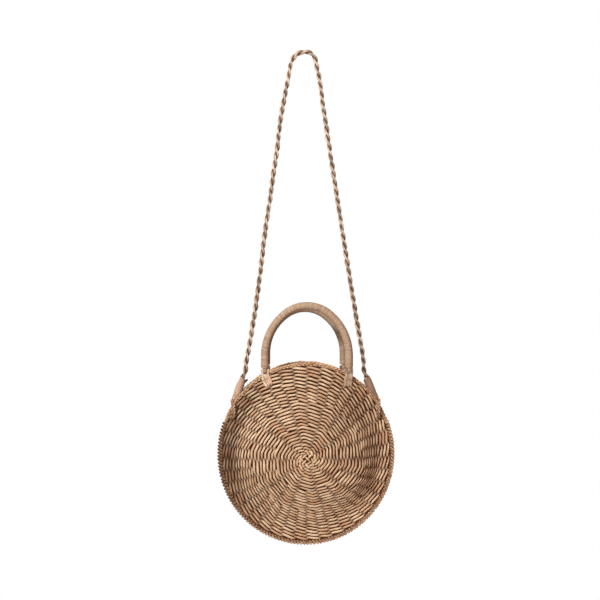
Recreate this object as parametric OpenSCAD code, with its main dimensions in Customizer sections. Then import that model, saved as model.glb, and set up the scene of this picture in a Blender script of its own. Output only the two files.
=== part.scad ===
// A round straw bag that hangs from its rope strap. Two twined straw discs are laced rim to rim
// round the sides and the bottom, and stay open along the top, between the two ends of the strap.
// Origin at the inside of the strap's top, where a hook carries it. +Z up, the front faces -Y.
// Angles round the bag are counted clockwise from straight up, as the front shows it.

/* [Bag] */
// From the hanging point down to the centre of the weave
hang_drop = 603; // [585:1:620]
// Radius of the border at the sides and the bottom
bag_r = 130; // [122:1:136]
// How much further the border reaches at the middle of the mouth
mouth_rise = 13; // [4:1:16]
// Angle from straight up at which the mouth ends
mouth_angle = 54; // [50:1:55]
// How far the middle of each disc stands out from the seam
bulge = 35; // [28:1:42]
// How far the laced flange leans forward at the sides and the bottom
flange_lean = 5; // [0:0.5:6]
// Thickness of the straw wall
wall = 4; // [3.2:0.2:4.6]

/* [Rim] */
// Diameter of each braided border
rim_d = 6; // [5:0.5:6.5]
// Diameter of the lacing cord
lace_d = 2.4; // [1.6:0.2:2.8]
// Turns of the lacing from one end of the mouth round to the other
lace_turns = 104; // [60:4:110]

/* [Handles] */
// Half the width of the front handle, to the middle of its tube
handle_half = 62.5; // [56:0.5:66]
// How much lower the back handle's top lies, and how much narrower it is on each side
back_inset = 4; // [0:0.5:6]
// How much further the front handle's arch rises than half its width
handle_peak = 11.5; // [8:0.5:16]
// Radius of the arch's top curve, as a share of half the handle's width
handle_top_share = 0.832; // [0.74:0.002:0.9]
// Length of a straight leg above its pivot
handle_leg = 21.5; // [16:0.5:30]
// Outside diameter of the wrapped handle
handle_d = 11.6; // [10.6:0.2:12.6]
// Diameter of the cane hoop inside
core_d = 8; // [6.6:0.2:8.6]
// Width of the flat eye at each foot of the cane
foot_w = 5; // [4:0.2:5.6]
// Diameter of the tie's bar that the foot turns on
pivot_d = 3.2; // [2.4:0.2:3.6]
// Height of the pivot above the border
pivot_lift = 4.6; // [4.4:0.1:6]

/* [Ties] */
// Length of the flat bundle on the disc, below the border
tie_len = 19; // [12:1:24]
// Thickness of the bundle
tie_t = 2.6; // [1.8:0.2:3]
// Lean of the front left bundle towards the middle
left_lean_angle = 24; // [0:1:30]
// Lean of the front right bundle towards the middle
right_lean_angle = 7; // [0:1:30]
// Lean of both back bundles towards the middle
back_lean_angle = 12; // [0:1:30]

/* [Strap] */
// Diameter of the rope
strap_d = 8; // [6.4:0.2:8.2]
// Angle from straight up at which the rope goes round the borders
eye_angle = 58; // [57.6:0.1:60]
// Radius of the turn that the rope makes round the borders
eye_turn_r = 13.6; // [13.4:0.1:14.4]
// Diameter of the rope where it goes round
eye_d = 4.6; // [4:0.2:5]
// Greatest diameter of the whipping
whip_d = 12; // [11:0.2:12.6]
// Length of the whipping
whip_len = 27; // [22:1:30]

/* [Lining] */
// Thickness of the cotton
lining_t = 0.6; // [0.4:0.1:0.8]
// Space between the straw and the cotton
lining_gap = 1.6; // [1.5:0.1:1.9]
// Width of the slip pocket
pocket_w = 104; // [80:2:110]
// Height of the slip pocket
pocket_h = 76; // [60:2:84]

/* [Snap] */
// Diameter of the magnetic snap
snap_d = 17; // [12:0.5:19]
// Height of each half of the snap
snap_t = 2.6; // [2:0.2:3.4]
// How far below the top of the mouth the snap sits
snap_drop = 20; // [17:1:30]
// Thickness of the plate behind the lining
washer_t = 0.7; // [0.4:0.1:0.8]

/* [Hidden] */

front = -1;
back = 1;
left = -1;
right = 1;

// Running gaps and overruns
slip = 0.05;
seam_gap = 0.3;
rest_gap = 0.3;
cloth_gap = 0.4;
cut_over = 1;

// Facets: stations round the bag, and sides of the soft tubes
panel_stations = 60;
lining_stations = 54;
rim_sides = 8;
lace_sides = 4;
round_fn = 48;

// The disc's outline and crown, as shares of its radius
rise_power = 3;
crown_share = 0.2;

// Where the wall comes in to the seam, from one share to another: gently below, later and
// faster at the left, and in a crease at the right
step_shares = [0.25, 0.97];
left_step_shares = [0.64, 0.97];
right_step_shares = [0.58, 0.9];
left_step_angle = 275;
right_step_angle = 103;
step_spread_angle = 60;
lean_from_share = 0.8;
lean_start_angle = 60;
lean_full_angle = 85;
probe_share = 0.01;
probe_angle = 1;

weave_z = -hang_drop;
rim_pair = (rim_d + seam_gap) / 2;
border_in = rim_d + rest_gap;

function smooth(a, b, v) = let (k = min(1, max(0, (v - a) / (b - a)))) k * k * (3 - 2 * k);
function fold(t) = let (m = (t % 360 + 360) % 360) m > 180 ? 360 - m : m;

// Radius of the border's outside at angle t
function border_r(t) = bag_r + mouth_rise * pow((1 + cos(t)) / 2, rise_power);

// 1 at the middle of the mouth, 0 where it is laced shut
function mouth(t) = fold(t) < mouth_angle ? cos(90 * fold(t) / mouth_angle) : 0;

// 1 at an angle, 0 where t is further from it than the spread
function beside(t, angle) = 1 - smooth(0, step_spread_angle, fold(t - angle));
function step_share(i, t) = step_shares[i]
    + (left_step_shares[i] - step_shares[i]) * beside(t, left_step_angle)
    + (right_step_shares[i] - step_shares[i]) * beside(t, right_step_angle);

// How far the wall stands out from the seam at share u of the radius
function stand_off(u, t) = bulge * (1 - crown_share * u * u)
    * (1 - (1 - mouth(t)) * smooth(step_share(0, t), step_share(1, t), u));
function lean(u, t) = flange_lean * smooth(lean_start_angle, lean_full_angle, fold(t))
    * smooth(lean_from_share, 1, u);

// A point at share u and angle t, off the seam by the crown and by the distance given
function spot(side, u, t, off) = [
    u * border_r(t) * sin(t),
    side * (stand_off(u, t) + off) - lean(u, t),
    weave_z + u * border_r(t) * cos(t)];
function wall_mid(side, u, t) = spot(side, u, t, (wall + seam_gap) / 2);
function normal(side, u, t) = u < 2 * probe_share ? [0, side, 0] : let (
    across = wall_mid(side, u + probe_share, t) - wall_mid(side, u - probe_share, t),
    round = wall_mid(side, u, t + probe_angle) - wall_mid(side, u, t - probe_angle),
    n = cross(across, round)) n / norm(n) * side * sign(n[1] == 0 ? 1 : n[1]);

// A point off the middle of the wall, outwards where the distance is positive
function layer(side, u, t, off) = wall_mid(side, u, t) + off * normal(side, u, t);

// The same at a place given by x and z
function share_at(x, z) = norm([x, z - weave_z]) / border_r(atan2(x, z - weave_z));
function layer_at(side, x, z, off) = layer(side, share_at(x, z), atan2(x, z - weave_z), off);
function normal_at(side, x, z) = normal(side, share_at(x, z), atan2(x, z - weave_z));

// Faces of a grid of rings about a centre point, wound for an outside that faces the front
function dish_faces(rings, m, start, flip) = [
    for (j = [0:m - 1]) let (k = (j + 1) % m) each [
        turned([start, start + 1 + j, start + 1 + k], flip),
        for (i = [0:rings - 2]) let (a = start + 1 + i * m, b = a + m) each [
            turned([a + j, b + j, b + k], flip), turned([a + j, b + k, a + k], flip)]]];
function edge_faces(rings, m, second, flip) = [
    for (j = [0:m - 1]) let (k = (j + 1) % m, a = 1 + (rings - 1) * m, b = second + a) each [
        turned([a + j, b + j, b + k], flip), turned([a + j, b + k, a + k], flip)]];
function turned(f, flip) = flip ? [f[0], f[2], f[1]] : f;

// A shell of one disc between two distances off the middle of its wall
module dish(side, shares, m, outer, inner, edge) {
    rings = len(shares);
    function sheet(off) = [
        layer(side, 0, 0, off),
        for (s = shares, j = [0:m - 1]) let (t = 360 * j / m) layer(side, s * edge(t), t, off)];
    flip = side == back;
    count = 1 + rings * m;
    polyhedron(
        concat(sheet(outer), sheet(inner)),
        concat(dish_faces(rings, m, 0, flip), dish_faces(rings, m, count, !flip),
            edge_faces(rings, m, count, flip)),
        convexity = 6);
}

// A closed tube through rings of points
module closed_tube(rings_of_points) {
    n = len(rings_of_points);
    m = len(rings_of_points[0]);
    polyhedron(
        [for (ring = rings_of_points) each ring],
        [for (i = [0:n - 1], j = [0:m - 1])
            let (a = i * m, b = (i + 1) % n * m, k = (j + 1) % m) each [
                [a + j, b + k, b + j], [a + j, a + k, b + k]]],
        convexity = 6);
}

// A tube with two flat ends
module open_tube(rings_of_points) {
    n = len(rings_of_points);
    m = len(rings_of_points[0]);
    polyhedron(
        [for (ring = rings_of_points) each ring],
        concat(
            [for (i = [0:n - 2], j = [0:m - 1])
                let (a = i * m, b = a + m, k = (j + 1) % m) each [
                    [a + j, b + k, b + j], [a + j, a + k, b + k]]],
            [[for (j = [m - 1:-1:0]) j], [for (j = [0:m - 1]) (n - 1) * m + j]]),
        convexity = 6);
}

// A ring of points about a centre, square to the direction of travel
function ring_at(centre, along, up, r, m) = let (
    d = along / norm(along),
    side = cross(d, up) / norm(cross(d, up)),
    lift = cross(side, d)) [
    for (j = [0:m - 1]) let (a = 360 * j / m) centre + r * (cos(a) * side + sin(a) * lift)];

// Panels

panel_shares = [0.24, 0.38, 0.5, 0.62, 0.72, 0.8, 0.88, 1];
function panel_edge(t) = (border_r(t) - border_in) / border_r(t);

module panel(side) {
    difference() {
        dish(side, panel_shares, panel_stations, wall / 2, -wall / 2, function (t) panel_edge(t));
        for (hand = [left, right])
            eye_hole(hand * eye_x, eye_z - eye_turn_r);
    }
}

// Room for the rope, which curves away from the hole's middle on its way through the wall
module eye_hole(x, z) {
    deep = wall + seam_gap + stand_off(share_at(x, z), atan2(x, z - weave_z));
    sag = eye_turn_r - sqrt(eye_turn_r * eye_turn_r - deep * deep);
    translate([x, 0, z])
        rotate([90, 0, 0])
            cylinder(d = eye_d + 2 * (cloth_gap + sag), h = 2 * bulge, center = true, $fn = round_fn);
}

module front_panel() {
    color("#c19568") panel(front);
}

module back_panel() {
    color("#b98d61") panel(back);
}

// Borders

function border_mid(side, t) = spot(side, (border_r(t) - rim_d / 2) / border_r(t), t, rim_pair);

module rim(side) {
    closed_tube([for (i = [0:panel_stations - 1]) let (t = 360 * i / panel_stations)
        ring_at(border_mid(side, t), border_mid(side, t + probe_angle) - border_mid(side, t - probe_angle),
            [0, 1, 0], rim_d / 2, rim_sides)]);
}

module front_rim() {
    color("#ad7d52") rim(front);
}

module back_rim() {
    color("#a4764c") rim(back);
}

// The lacing: six corners a turn, each at the same distance from the border that it rounds
lace_start_angle = 66;
lace_corners = 6;
lace_reach = (rim_d / 2 + lace_d / 2 + rest_gap) / cos(180 / lace_corners);

function seam_at(t) = (border_mid(front, t) + border_mid(back, t)) / 2;
function lace_point(k) = let (
    t = lace_start_angle + (360 - 2 * lace_start_angle) * k / (lace_turns * lace_corners),
    a = 360 * k / lace_corners,
    out = [sin(t), 0, cos(t)],
    depth = sign(cos(a)) * rim_pair + lace_reach * cos(a))
    seam_at(t) + lace_reach * sin(a) * out + [0, depth, 0];
function lace_ring(k) = let (
    last = lace_turns * lace_corners,
    t = lace_start_angle + (360 - 2 * lace_start_angle) * k / last)
    ring_at(lace_point(k), lace_point(min(k + 1, last)) - lace_point(max(k - 1, 0)),
        [cos(t), 0, -sin(t)], lace_d / 2, lace_sides);

module seam_lacing() {
    color("#8f6540") open_tube([for (k = [0:lace_turns * lace_corners]) lace_ring(k)]);
}

// Handles. Each foot turns on its tie's bar, just above and outside the border.

pivot_out = 4.4;
foot_r = foot_w * 0.62;
wrap_start = 6.2;
core_start = 5.2;
layer_t = 0.2;
lap_angle = 3;

function half_of(side) = side == front ? handle_half : handle_half - back_inset;
function rise_of(side) = handle_half + handle_peak
    - (side == front ? 0 : back_inset + pivot_z(back) - pivot_z(front));
function foot_t(side) = asin(half_of(side) / border_r(asin(half_of(side) / (bag_r + mouth_rise))));
function pivot_z(side) = weave_z + border_r(foot_t(side)) * cos(foot_t(side)) + pivot_lift;
function pivot_y(side) = border_mid(side, foot_t(side))[1] + side * pivot_out;

// Radii of the top curve and of the side curve that meets it smoothly
function top_r(side) = handle_top_share * half_of(side);
function side_r(side) = let (a = half_of(side), r = top_r(side), b = rise_of(side) - r)
    (a * a + b * b - r * r) / (2 * (a - r));
function side_sweep(side) = atan2(rise_of(side) - top_r(side), side_r(side) - half_of(side));

// One handle's tube in its own plane, X across and Y up from the pivot, starting above the pivot.
// The first child is the section of the legs, the second that of the top, which laps over them.
module hoop(side, start) {
    a = half_of(side);
    sweep = side_sweep(side);
    lap = lap_angle;
    translate([0, handle_leg + rise_of(side) - top_r(side)])
        rotate([0, 0, sweep - lap])
            rotate_extrude(angle = 180 - 2 * (sweep - lap), $fn = 2 * round_fn)
                translate([top_r(side), 0])
                    children(1);
    for (hand = [left, right])
        mirror([hand == left ? 1 : 0, 0, 0]) {
            translate([a - side_r(side), handle_leg])
                rotate_extrude(angle = sweep, $fn = 2 * round_fn)
                    translate([side_r(side), 0])
                        children(0);
            translate([a, start])
                rotate([-90, 0, 0])
                    linear_extrude(handle_leg - start)
                        children(0);
        }
}

module ring_section(outer, inner) {
    difference() {
        circle(d = outer, $fn = round_fn);
        circle(d = inner, $fn = round_fn);
    }
}

module on_pivots(side) {
    translate([0, pivot_y(side), pivot_z(side)])
        rotate([90, 0, 0])
            children();
}

module handle_wrap(side) {
    on_pivots(side)
        hoop(side, wrap_start) {
            ring_section(handle_d, core_d + 2 * slip);
            ring_section(handle_d + 2 * layer_t, core_d + 2 * layer_t);
        }
}

module handle_core(side) {
    on_pivots(side) {
        hoop(side, core_start) {
            circle(d = core_d, $fn = round_fn);
            circle(d = core_d - 2 * layer_t, $fn = round_fn);
        }
        for (hand = [left, right])
            translate([hand * half_of(side), 0, 0])
                rotate([0, 90, 0])
                    difference() {
                        linear_extrude(foot_w, center = true)
                            union() {
                                circle(r = foot_r, $fn = round_fn);
                                translate([-foot_r, 0])
                                    square([2 * foot_r, core_start]);
                            }
                        cylinder(d = pivot_d + 2 * slip, h = foot_w + 2 * cut_over, center = true,
                            $fn = round_fn);
                    }
    }
}

module front_handle_core() {
    color("#b08a5c") handle_core(front);
}

module front_handle_wrap() {
    color("#d2a77e") handle_wrap(front);
}

module back_handle_core() {
    color("#a78255") handle_core(back);
}

module back_handle_wrap() {
    color("#c89e76") handle_wrap(back);
}

// Ties: a bar through the foot's eye, a cheek on each side of it, and a flat bundle down the disc

cheek_t = (handle_d - foot_w) / 2 - rest_gap;
cheek_wall = 0.9;
cheek_r = pivot_d / 2 + cheek_wall;
bundle_drop = 2.4;
bundle_top = pivot_lift + bundle_drop;
bundle_off = rim_d / 2 + 5 * rest_gap + tie_t / 2;

// Where the bundle's middle lies, a distance down from the pivot, leaning towards the middle:
// flat against the border at first, then against the disc
function pivot_at(side, hand) = [hand * half_of(side), pivot_y(side), pivot_z(side)];
function bundle_at(side, hand, lean_a, down) = let (
    p = pivot_at(side, hand),
    below = max(0, down - bundle_top),
    x = p[0] - hand * below * sin(lean_a),
    z = p[2] - min(down, bundle_top) - below * cos(lean_a),
    on_wall = layer_at(side, x, z, 0)[1]
        + (wall / 2 + cloth_gap + tie_t / 2) / normal_at(side, x, z)[1],
    on_rim = border_mid(side, foot_t(side))[1] + side * bundle_off)
    [x, down < bundle_top + border_in ? on_rim : on_wall, z];
function bundle_turn(side, hand, lean_a, down) = let (
    at = bundle_at(side, hand, lean_a, down),
    n = normal_at(side, at[0], min(at[2], pivot_at(side, hand)[2] - bundle_top - border_in)))
    -atan(n[0] / n[1]);

module at_bundle(side, hand, lean_a, down) {
    translate(bundle_at(side, hand, lean_a, down))
        rotate([0, 0, bundle_turn(side, hand, lean_a, down)])
            rotate([0, hand * lean_a, 0])
                children();
}

module bundle_slice(side, hand, lean_a, down) {
    at_bundle(side, hand, lean_a, down)
        cube([handle_d, tie_t, tie_t], center = true);
}

module tie(side, hand, lean_a) {
    p = pivot_at(side, hand);
    over_rim = bundle_top + border_in / 2;
    middle = bundle_top + tie_len / 2;
    end = bundle_top + tie_len;
    translate(p)
        rotate([0, 90, 0])
            cylinder(d = pivot_d, h = handle_d, center = true, $fn = round_fn);
    for (cheek = [left, right])
        hull() {
            translate(p + [cheek * (handle_d - cheek_t) / 2, 0, 0])
                rotate([0, 90, 0])
                    cylinder(r = cheek_r, h = cheek_t, center = true, $fn = 24);
            at_bundle(side, hand, 0, bundle_top)
                translate([cheek * (handle_d - cheek_t) / 2, 0, 0])
                    cube([cheek_t, tie_t, tie_t], center = true);
        }
    hull() {
        bundle_slice(side, hand, 0, bundle_top);
        bundle_slice(side, hand, lean_a, over_rim);
    }
    hull() {
        bundle_slice(side, hand, lean_a, over_rim);
        bundle_slice(side, hand, lean_a, middle);
    }
    hull() {
        bundle_slice(side, hand, lean_a, middle);
        bundle_slice(side, hand, lean_a, end);
    }
    translate(bundle_at(side, hand, lean_a, end))
        rotate([side * 90, 0, 0])
            cylinder(d = tie_t, h = tie_t / 2 + cloth_gap + wall + 2 * rest_gap, $fn = round_fn);
}

module front_left_tie() {
    color("#d6ad86") tie(front, left, left_lean_angle);
}

module front_right_tie() {
    color("#d6ad86") tie(front, right, right_lean_angle);
}

module back_left_tie() {
    color("#cda47c") tie(back, left, back_lean_angle);
}

module back_right_tie() {
    color("#cda47c") tie(back, right, back_lean_angle);
}

// Strap. Each end goes round both borders, and is whipped to itself above them.

// The ring stands a little towards the middle, where the slanting borders leave it the most room
eye_set = 0.6;
shank_set = 1.4;
shank_low_d = 5;
shank_taper = 9;
eye_u_share = (border_r(eye_angle) - rim_d / 2) / border_r(eye_angle);
eye_x = eye_u_share * border_r(eye_angle) * sin(eye_angle) - eye_set;
eye_z = weave_z + eye_u_share * border_r(eye_angle) * cos(eye_angle);

// The rope's end points, and its route between them: x and z, from the left end to the right end
strap_end = [95.5, -484];
strap_route = [
    [-89.5, -459], [-84, -430], [-79, -400], [-74.5, -370], [-70.5, -340], [-66.5, -308],
    [-63, -278], [-59, -248], [-54, -216], [-48.5, -175], [-43.5, -142], [-38.5, -98],
    [-33, -68], [-28, -40], [-25, -24], [-21.5, -9], [-16, -1], [-9, 3], [-1, 4],
    [6, 3], [11.5, -2], [15, -11], [17.5, -24], [20.5, -40], [24.5, -68],
    [29, -98], [35.5, -142], [40.5, -175], [47, -216], [52, -248], [56.5, -278],
    [61.5, -308], [66.5, -340], [71.5, -370], [76.5, -400], [82, -430], [88, -459]];
strap_sides = 8;

shank_foot = [eye_x + shank_set, eye_z + eye_turn_r + eye_d / 8];
shank_len = norm(shank_foot - strap_end);
shank_lean = atan2(shank_foot[0] - strap_end[0], strap_end[1] - shank_foot[1]);
shank_way = (strap_end - shank_foot) / shank_len;

strap_points = let (
    l = [-strap_end[0], strap_end[1]], r = strap_end,
    lw = [-shank_way[0], shank_way[1]], rw = shank_way)
    [for (p = concat([l, l + strap_d * lw], strap_route, [r + strap_d * rw, r])) [p[0], 0, p[1]]];

module strap() {
    n = len(strap_points);
    color("#8a6a50")
        open_tube([for (i = [0:n - 1]) let (
            before = strap_points[i] - strap_points[max(i - 1, 0)],
            after = strap_points[min(i + 1, n - 1)] - strap_points[i],
            along = i == 0 ? after : i == n - 1 ? before
                : i == 1 ? before : i == n - 2 ? after
                : before / norm(before) + after / norm(after))
            ring_at(strap_points[i], along, [0, 1, 0], strap_d / 2, strap_sides)]);
}

// Puts its children at an end of the strap, with Z along the rope from the foot of the shank
module at_shank(hand) {
    mirror([hand == left ? 1 : 0, 0, 0])
        translate([shank_foot[0], 0, shank_foot[1]])
            rotate([0, -shank_lean, 0])
                children();
}

tail_d = strap_d / 2;
tail_len = 8;
whip_top = shank_len - rest_gap;

module eye(hand) {
    translate([hand * eye_x, 0, eye_z])
        rotate([0, 90, 0])
            rotate_extrude($fn = round_fn)
                translate([eye_turn_r, 0])
                    circle(d = eye_d, $fn = round_fn / 2);
    at_shank(hand) {
        cylinder(d1 = shank_low_d, d2 = strap_d, h = shank_taper, $fn = round_fn);
        translate([0, 0, shank_taper])
            cylinder(d = strap_d, h = shank_len - shank_taper, $fn = round_fn);
        translate([-whip_tail_x, 0, whip_top - tail_len])
            rotate([0, -tail_angle, 0])
                cylinder(d = tail_d, h = 2 * tail_len, $fn = round_fn);
    }
}

// The cut tail of the rope leans out of the whipping, on the side towards the bag
whip_tail_x = strap_d / 2;
tail_angle = 18;

whip_low_r = strap_d * 0.56;
whip_shares = [[0, 0.1], [0.12, 0.55], [0.35, 0.9], [0.6, 1], [0.85, 0.85], [1, 0.5]];

module whipping(hand) {
    bottom = whip_top - whip_len;
    wide = whip_d / 2 - whip_low_r;
    at_shank(hand)
        difference() {
            rotate_extrude($fn = round_fn)
                polygon(concat(
                    [[0, bottom]],
                    [for (s = whip_shares) [whip_low_r + wide * s[1], bottom + whip_len * s[0]]],
                    [[0, whip_top]]));
            translate([0, 0, bottom - cut_over])
                cylinder(d = strap_d + 2 * slip, h = whip_len + 2 * cut_over, $fn = round_fn);
            translate([-whip_tail_x, 0, whip_top - tail_len])
                rotate([0, -tail_angle, 0])
                    translate([0, 0, -slip])
                        cylinder(d = tail_d + 2 * slip, h = 2 * tail_len + cut_over, $fn = round_fn);
        }
}

module left_eye() {
    color("#94724f") eye(left);
}

module right_eye() {
    color("#94724f") eye(right);
}

module left_whipping() {
    color("#c99c7c") whipping(left);
}

module right_whipping() {
    color("#b98c6a") whipping(right);
}

// Lining, up to the mouth's hem and closed inside the laced part

lining_seam_share = 0.775;
hem_share = 0.95;
hem_from_share = 0.05;
hem_to_share = 0.7;
lining_shares = [0.295, 0.467, 0.615, 0.763, 0.886, 1];
lining_off = -wall / 2 - lining_gap;
function lining_edge(t) = lining_seam_share
    + (hem_share - lining_seam_share) * smooth(hem_from_share, hem_to_share, mouth(t));

module lining(side) {
    dish(side, lining_shares, lining_stations, lining_off, lining_off - lining_t,
        function (t) lining_edge(t));
}

module lining_front() {
    color("#e8dcc6") lining(front);
}

module lining_back() {
    color("#e2d5bd") lining(back);
}

// The pocket: a flat cloth that follows the back lining
pocket_cols = 8;
pocket_rows = 6;
pocket_low = 46;
pocket_off = lining_off - lining_t - 2 * cloth_gap - 3 * slip;

function pocket_sheet(off) = [for (i = [0:pocket_rows], j = [0:pocket_cols]) layer_at(back,
    pocket_w * (j / pocket_cols - 1 / 2),
    weave_z - pocket_low + pocket_h * i / pocket_rows, off)];

module inner_pocket() {
    w = pocket_cols + 1;
    count = w * (pocket_rows + 1);
    rim = concat(
        [for (j = [0:pocket_cols - 1]) j],
        [for (i = [0:pocket_rows - 1]) i * w + pocket_cols],
        [for (j = [pocket_cols:-1:1]) pocket_rows * w + j],
        [for (i = [pocket_rows:-1:1]) i * w]);
    color("#d8c9ae")
        polyhedron(
            concat(pocket_sheet(pocket_off), pocket_sheet(pocket_off - lining_t)),
            concat(
                [for (i = [0:pocket_rows - 1], j = [0:pocket_cols - 1]) let (a = i * w + j) each [
                    [a, a + 1, a + w + 1], [a, a + w + 1, a + w],
                    [count + a, count + a + w + 1, count + a + 1],
                    [count + a, count + a + w, count + a + w + 1]]],
                [for (i = [0:len(rim) - 1]) let (a = rim[i], b = rim[(i + 1) % len(rim)]) each [
                    [a, count + a, count + b], [a, count + b, b]]]),
            convexity = 4);
}

// Magnetic snap, one half on each lining, with a plate behind the cotton

snap_rim = 1.2;
snap_seat = 0.9;
washer_seat = 0.2;
prong_d = 1.4;
prong_gap = 6;
snap_z = weave_z + bag_r + mouth_rise - snap_drop;
cotton_in = -wall / 2 - lining_gap - lining_t;

// Puts its children on the inside of a disc, with Z pointing into the bag
module at_snap(side, off) {
    n = normal(side, share_at(0, snap_z), 0);
    translate(layer_at(side, 0, snap_z, off))
        rotate([side * 90 + atan2(n[2], side * n[1]) * side, 0, 0])
            children();
}

module prongs(length, w) {
    for (hand = [left, right])
        translate([hand * prong_gap / 2 - w / 2, -w / 2, -length])
            cube([w, w, length]);
}

module snap_half(side, pip) {
    at_snap(side, cotton_in - snap_seat) {
        difference() {
            cylinder(d = snap_d, h = snap_t, $fn = round_fn);
            translate([0, 0, snap_t / 2])
                cylinder(d = snap_d - 2 * snap_rim, h = snap_t, $fn = round_fn);
        }
        if (pip)
            cylinder(d = prong_gap - 2 * rest_gap, h = snap_t, $fn = round_fn);
        else
            difference() {
                cylinder(d = prong_gap + 2 * snap_rim, h = snap_t, $fn = round_fn);
                translate([0, 0, snap_t / 2])
                    cylinder(d = prong_gap, h = snap_t, $fn = round_fn);
            }
        prongs(snap_seat + lining_t + washer_seat + washer_t, prong_d);
    }
}

module washer(side) {
    at_snap(side, lining_off + washer_seat + washer_t)
        difference() {
            cylinder(d = snap_d - 2 * snap_rim, h = washer_t, $fn = round_fn);
            translate([0, 0, -cut_over])
                cylinder(d = prong_gap - prong_d - 2 * rest_gap, h = washer_t + 2 * cut_over,
                    $fn = round_fn);
            translate([0, 0, washer_t + cut_over])
                prongs(washer_t + 2 * cut_over, prong_d + 2 * slip);
        }
}

module snap_socket() {
    color("#b89a5a") snap_half(front, false);
}

module snap_stud() {
    color("#b89a5a") snap_half(back, true);
}

module snap_front_washer() {
    color("#9a8550") washer(front);
}

module snap_back_washer() {
    color("#9a8550") washer(back);
}

front_panel();
back_panel();
front_rim();
back_rim();
seam_lacing();
front_handle_core();
front_handle_wrap();
back_handle_core();
back_handle_wrap();
front_left_tie();
front_right_tie();
back_left_tie();
back_right_tie();
strap();
left_eye();
right_eye();
left_whipping();
right_whipping();
lining_front();
lining_back();
inner_pocket();
snap_socket();
snap_stud();
snap_front_washer();
snap_back_washer();
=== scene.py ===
# %% [markdown]
# # A round straw bag that hangs from its rope strap
# Two twined straw discs are laced rim to rim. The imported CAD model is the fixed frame: it says
# where each part is and how it moves. This script dresses it. Almost everything on the bag is
# one thing, a strand of twisted straw, that is twined, braided, wound or laid up. So the script
# has one helper that lays strands, and each piece below says only which way its strands run.
# All sizes are in metres.

# %% The frame
import math

import bmesh
import bpy
import numpy as np
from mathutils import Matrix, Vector


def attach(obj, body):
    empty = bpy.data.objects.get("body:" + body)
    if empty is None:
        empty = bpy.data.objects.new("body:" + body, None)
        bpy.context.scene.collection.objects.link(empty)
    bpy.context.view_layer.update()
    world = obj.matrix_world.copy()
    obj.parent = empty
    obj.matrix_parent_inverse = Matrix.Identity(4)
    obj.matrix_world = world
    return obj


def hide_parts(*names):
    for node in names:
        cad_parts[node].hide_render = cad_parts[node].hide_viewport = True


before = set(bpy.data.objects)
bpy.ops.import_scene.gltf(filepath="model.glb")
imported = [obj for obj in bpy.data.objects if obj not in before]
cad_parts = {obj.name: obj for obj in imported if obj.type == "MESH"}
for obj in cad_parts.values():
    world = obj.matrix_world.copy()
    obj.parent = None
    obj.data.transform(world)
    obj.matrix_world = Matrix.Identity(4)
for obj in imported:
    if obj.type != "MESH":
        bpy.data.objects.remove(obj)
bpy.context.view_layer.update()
MM = 0.001
FRONT, BACK, LEFT, RIGHT = -1, 1, -1, 1
SIDES, HANDS = ((FRONT, "front"), (BACK, "back")), ((LEFT, "left"), (RIGHT, "right"))

# %% [markdown]
# ## Camera
# The picture is taken from a little to the left, level with a point between the handles and the
# top of the rope, from far enough away that the rope's two sides stay almost parallel. The long
# lens does that. The camera comes first, because how far the rope may spread depends on its view.

# %% Camera
LOOK_AT = Vector((-0.009, 0, -0.3678))
CAMERA_AWAY, FRAME_WIDTH = 2.2, 0.9
CAMERA_ROUND = math.radians(-3)

lens = bpy.data.cameras.new("camera")
camera = bpy.data.objects.new("camera", lens)
bpy.context.scene.collection.objects.link(camera)
camera.location = LOOK_AT + CAMERA_AWAY * Vector((math.sin(CAMERA_ROUND), -math.cos(CAMERA_ROUND), 0))
camera.rotation_euler = (LOOK_AT - camera.location).to_track_quat("-Z", "Y").to_euler()
lens.lens = lens.sensor_width * CAMERA_AWAY / FRAME_WIDTH
bpy.context.scene.camera = camera
print("camera", [round(v, 3) for v in camera.location], "lens", round(lens.lens, 1), "mm")

# %% [markdown]
# ## Laying strands
# A strand could be a cylinder that is bent, or a ring that is extruded step by step. A Blender curve with a
# bevel does both at once: it sweeps a round or flattened section along a line. Where a flat strand has to
# lie on something, the line's tilt turns the section, so a helper works out how far. The finishes need three
# facts about every point of the mesh: where on its strand it is, the strand's own tone, because no two
# straws have the same colour, and how proud it stands, because the finishes paint shade deep in a weave.
# They are kept on the mesh as attributes.

# %% Lines in space
chance = np.random.default_rng(7)


def unit(v):
    return v / np.maximum(np.linalg.norm(v, axis=-1, keepdims=True), 1e-12)


def smooth(a, b, v):
    """0 up to a, 1 from b on, and an even curve between them."""
    k = np.clip((v - a) / (b - a), 0, 1)
    return k * k * (3 - 2 * k)


def arc(line):
    """How far along the line each of its points is."""
    return np.r_[0, np.linalg.norm(np.diff(line, axis=0), axis=1).cumsum()]


def direction(line, loop=False):
    """The line's direction at each point, half way between its two neighbours."""
    steps = unit(np.diff(line, axis=0, append=line[:1]))
    if not loop:
        steps[-1] = steps[-2]
    before = np.roll(steps, 1, axis=0)
    if not loop:
        before[0] = steps[0]
    return unit(steps + before)


def tilt_to(line, wide, loop):
    """The tilt that turns a flat strand's width to the way that is asked for."""
    along = direction(line, loop)
    wide = unit(wide - (wide * along).sum(1, keepdims=True) * along)
    up = unit(np.array([0, 0, 1.0]) - along * along[:, 2:3])
    return np.arctan2((np.cross(up, wide) * along).sum(1), (up * wide).sum(1))


def add_object(name, mesh):
    piece = bpy.data.objects.new(name, mesh)
    bpy.context.scene.collection.objects.link(piece)
    return piece


def dress(piece, finish, body, node=None):
    """Says what a piece is made of, the body that it rides on and the CAD part that it replaces."""
    piece.data.materials.append(finish)
    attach(piece, body)
    if node:
        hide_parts(node)


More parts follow.
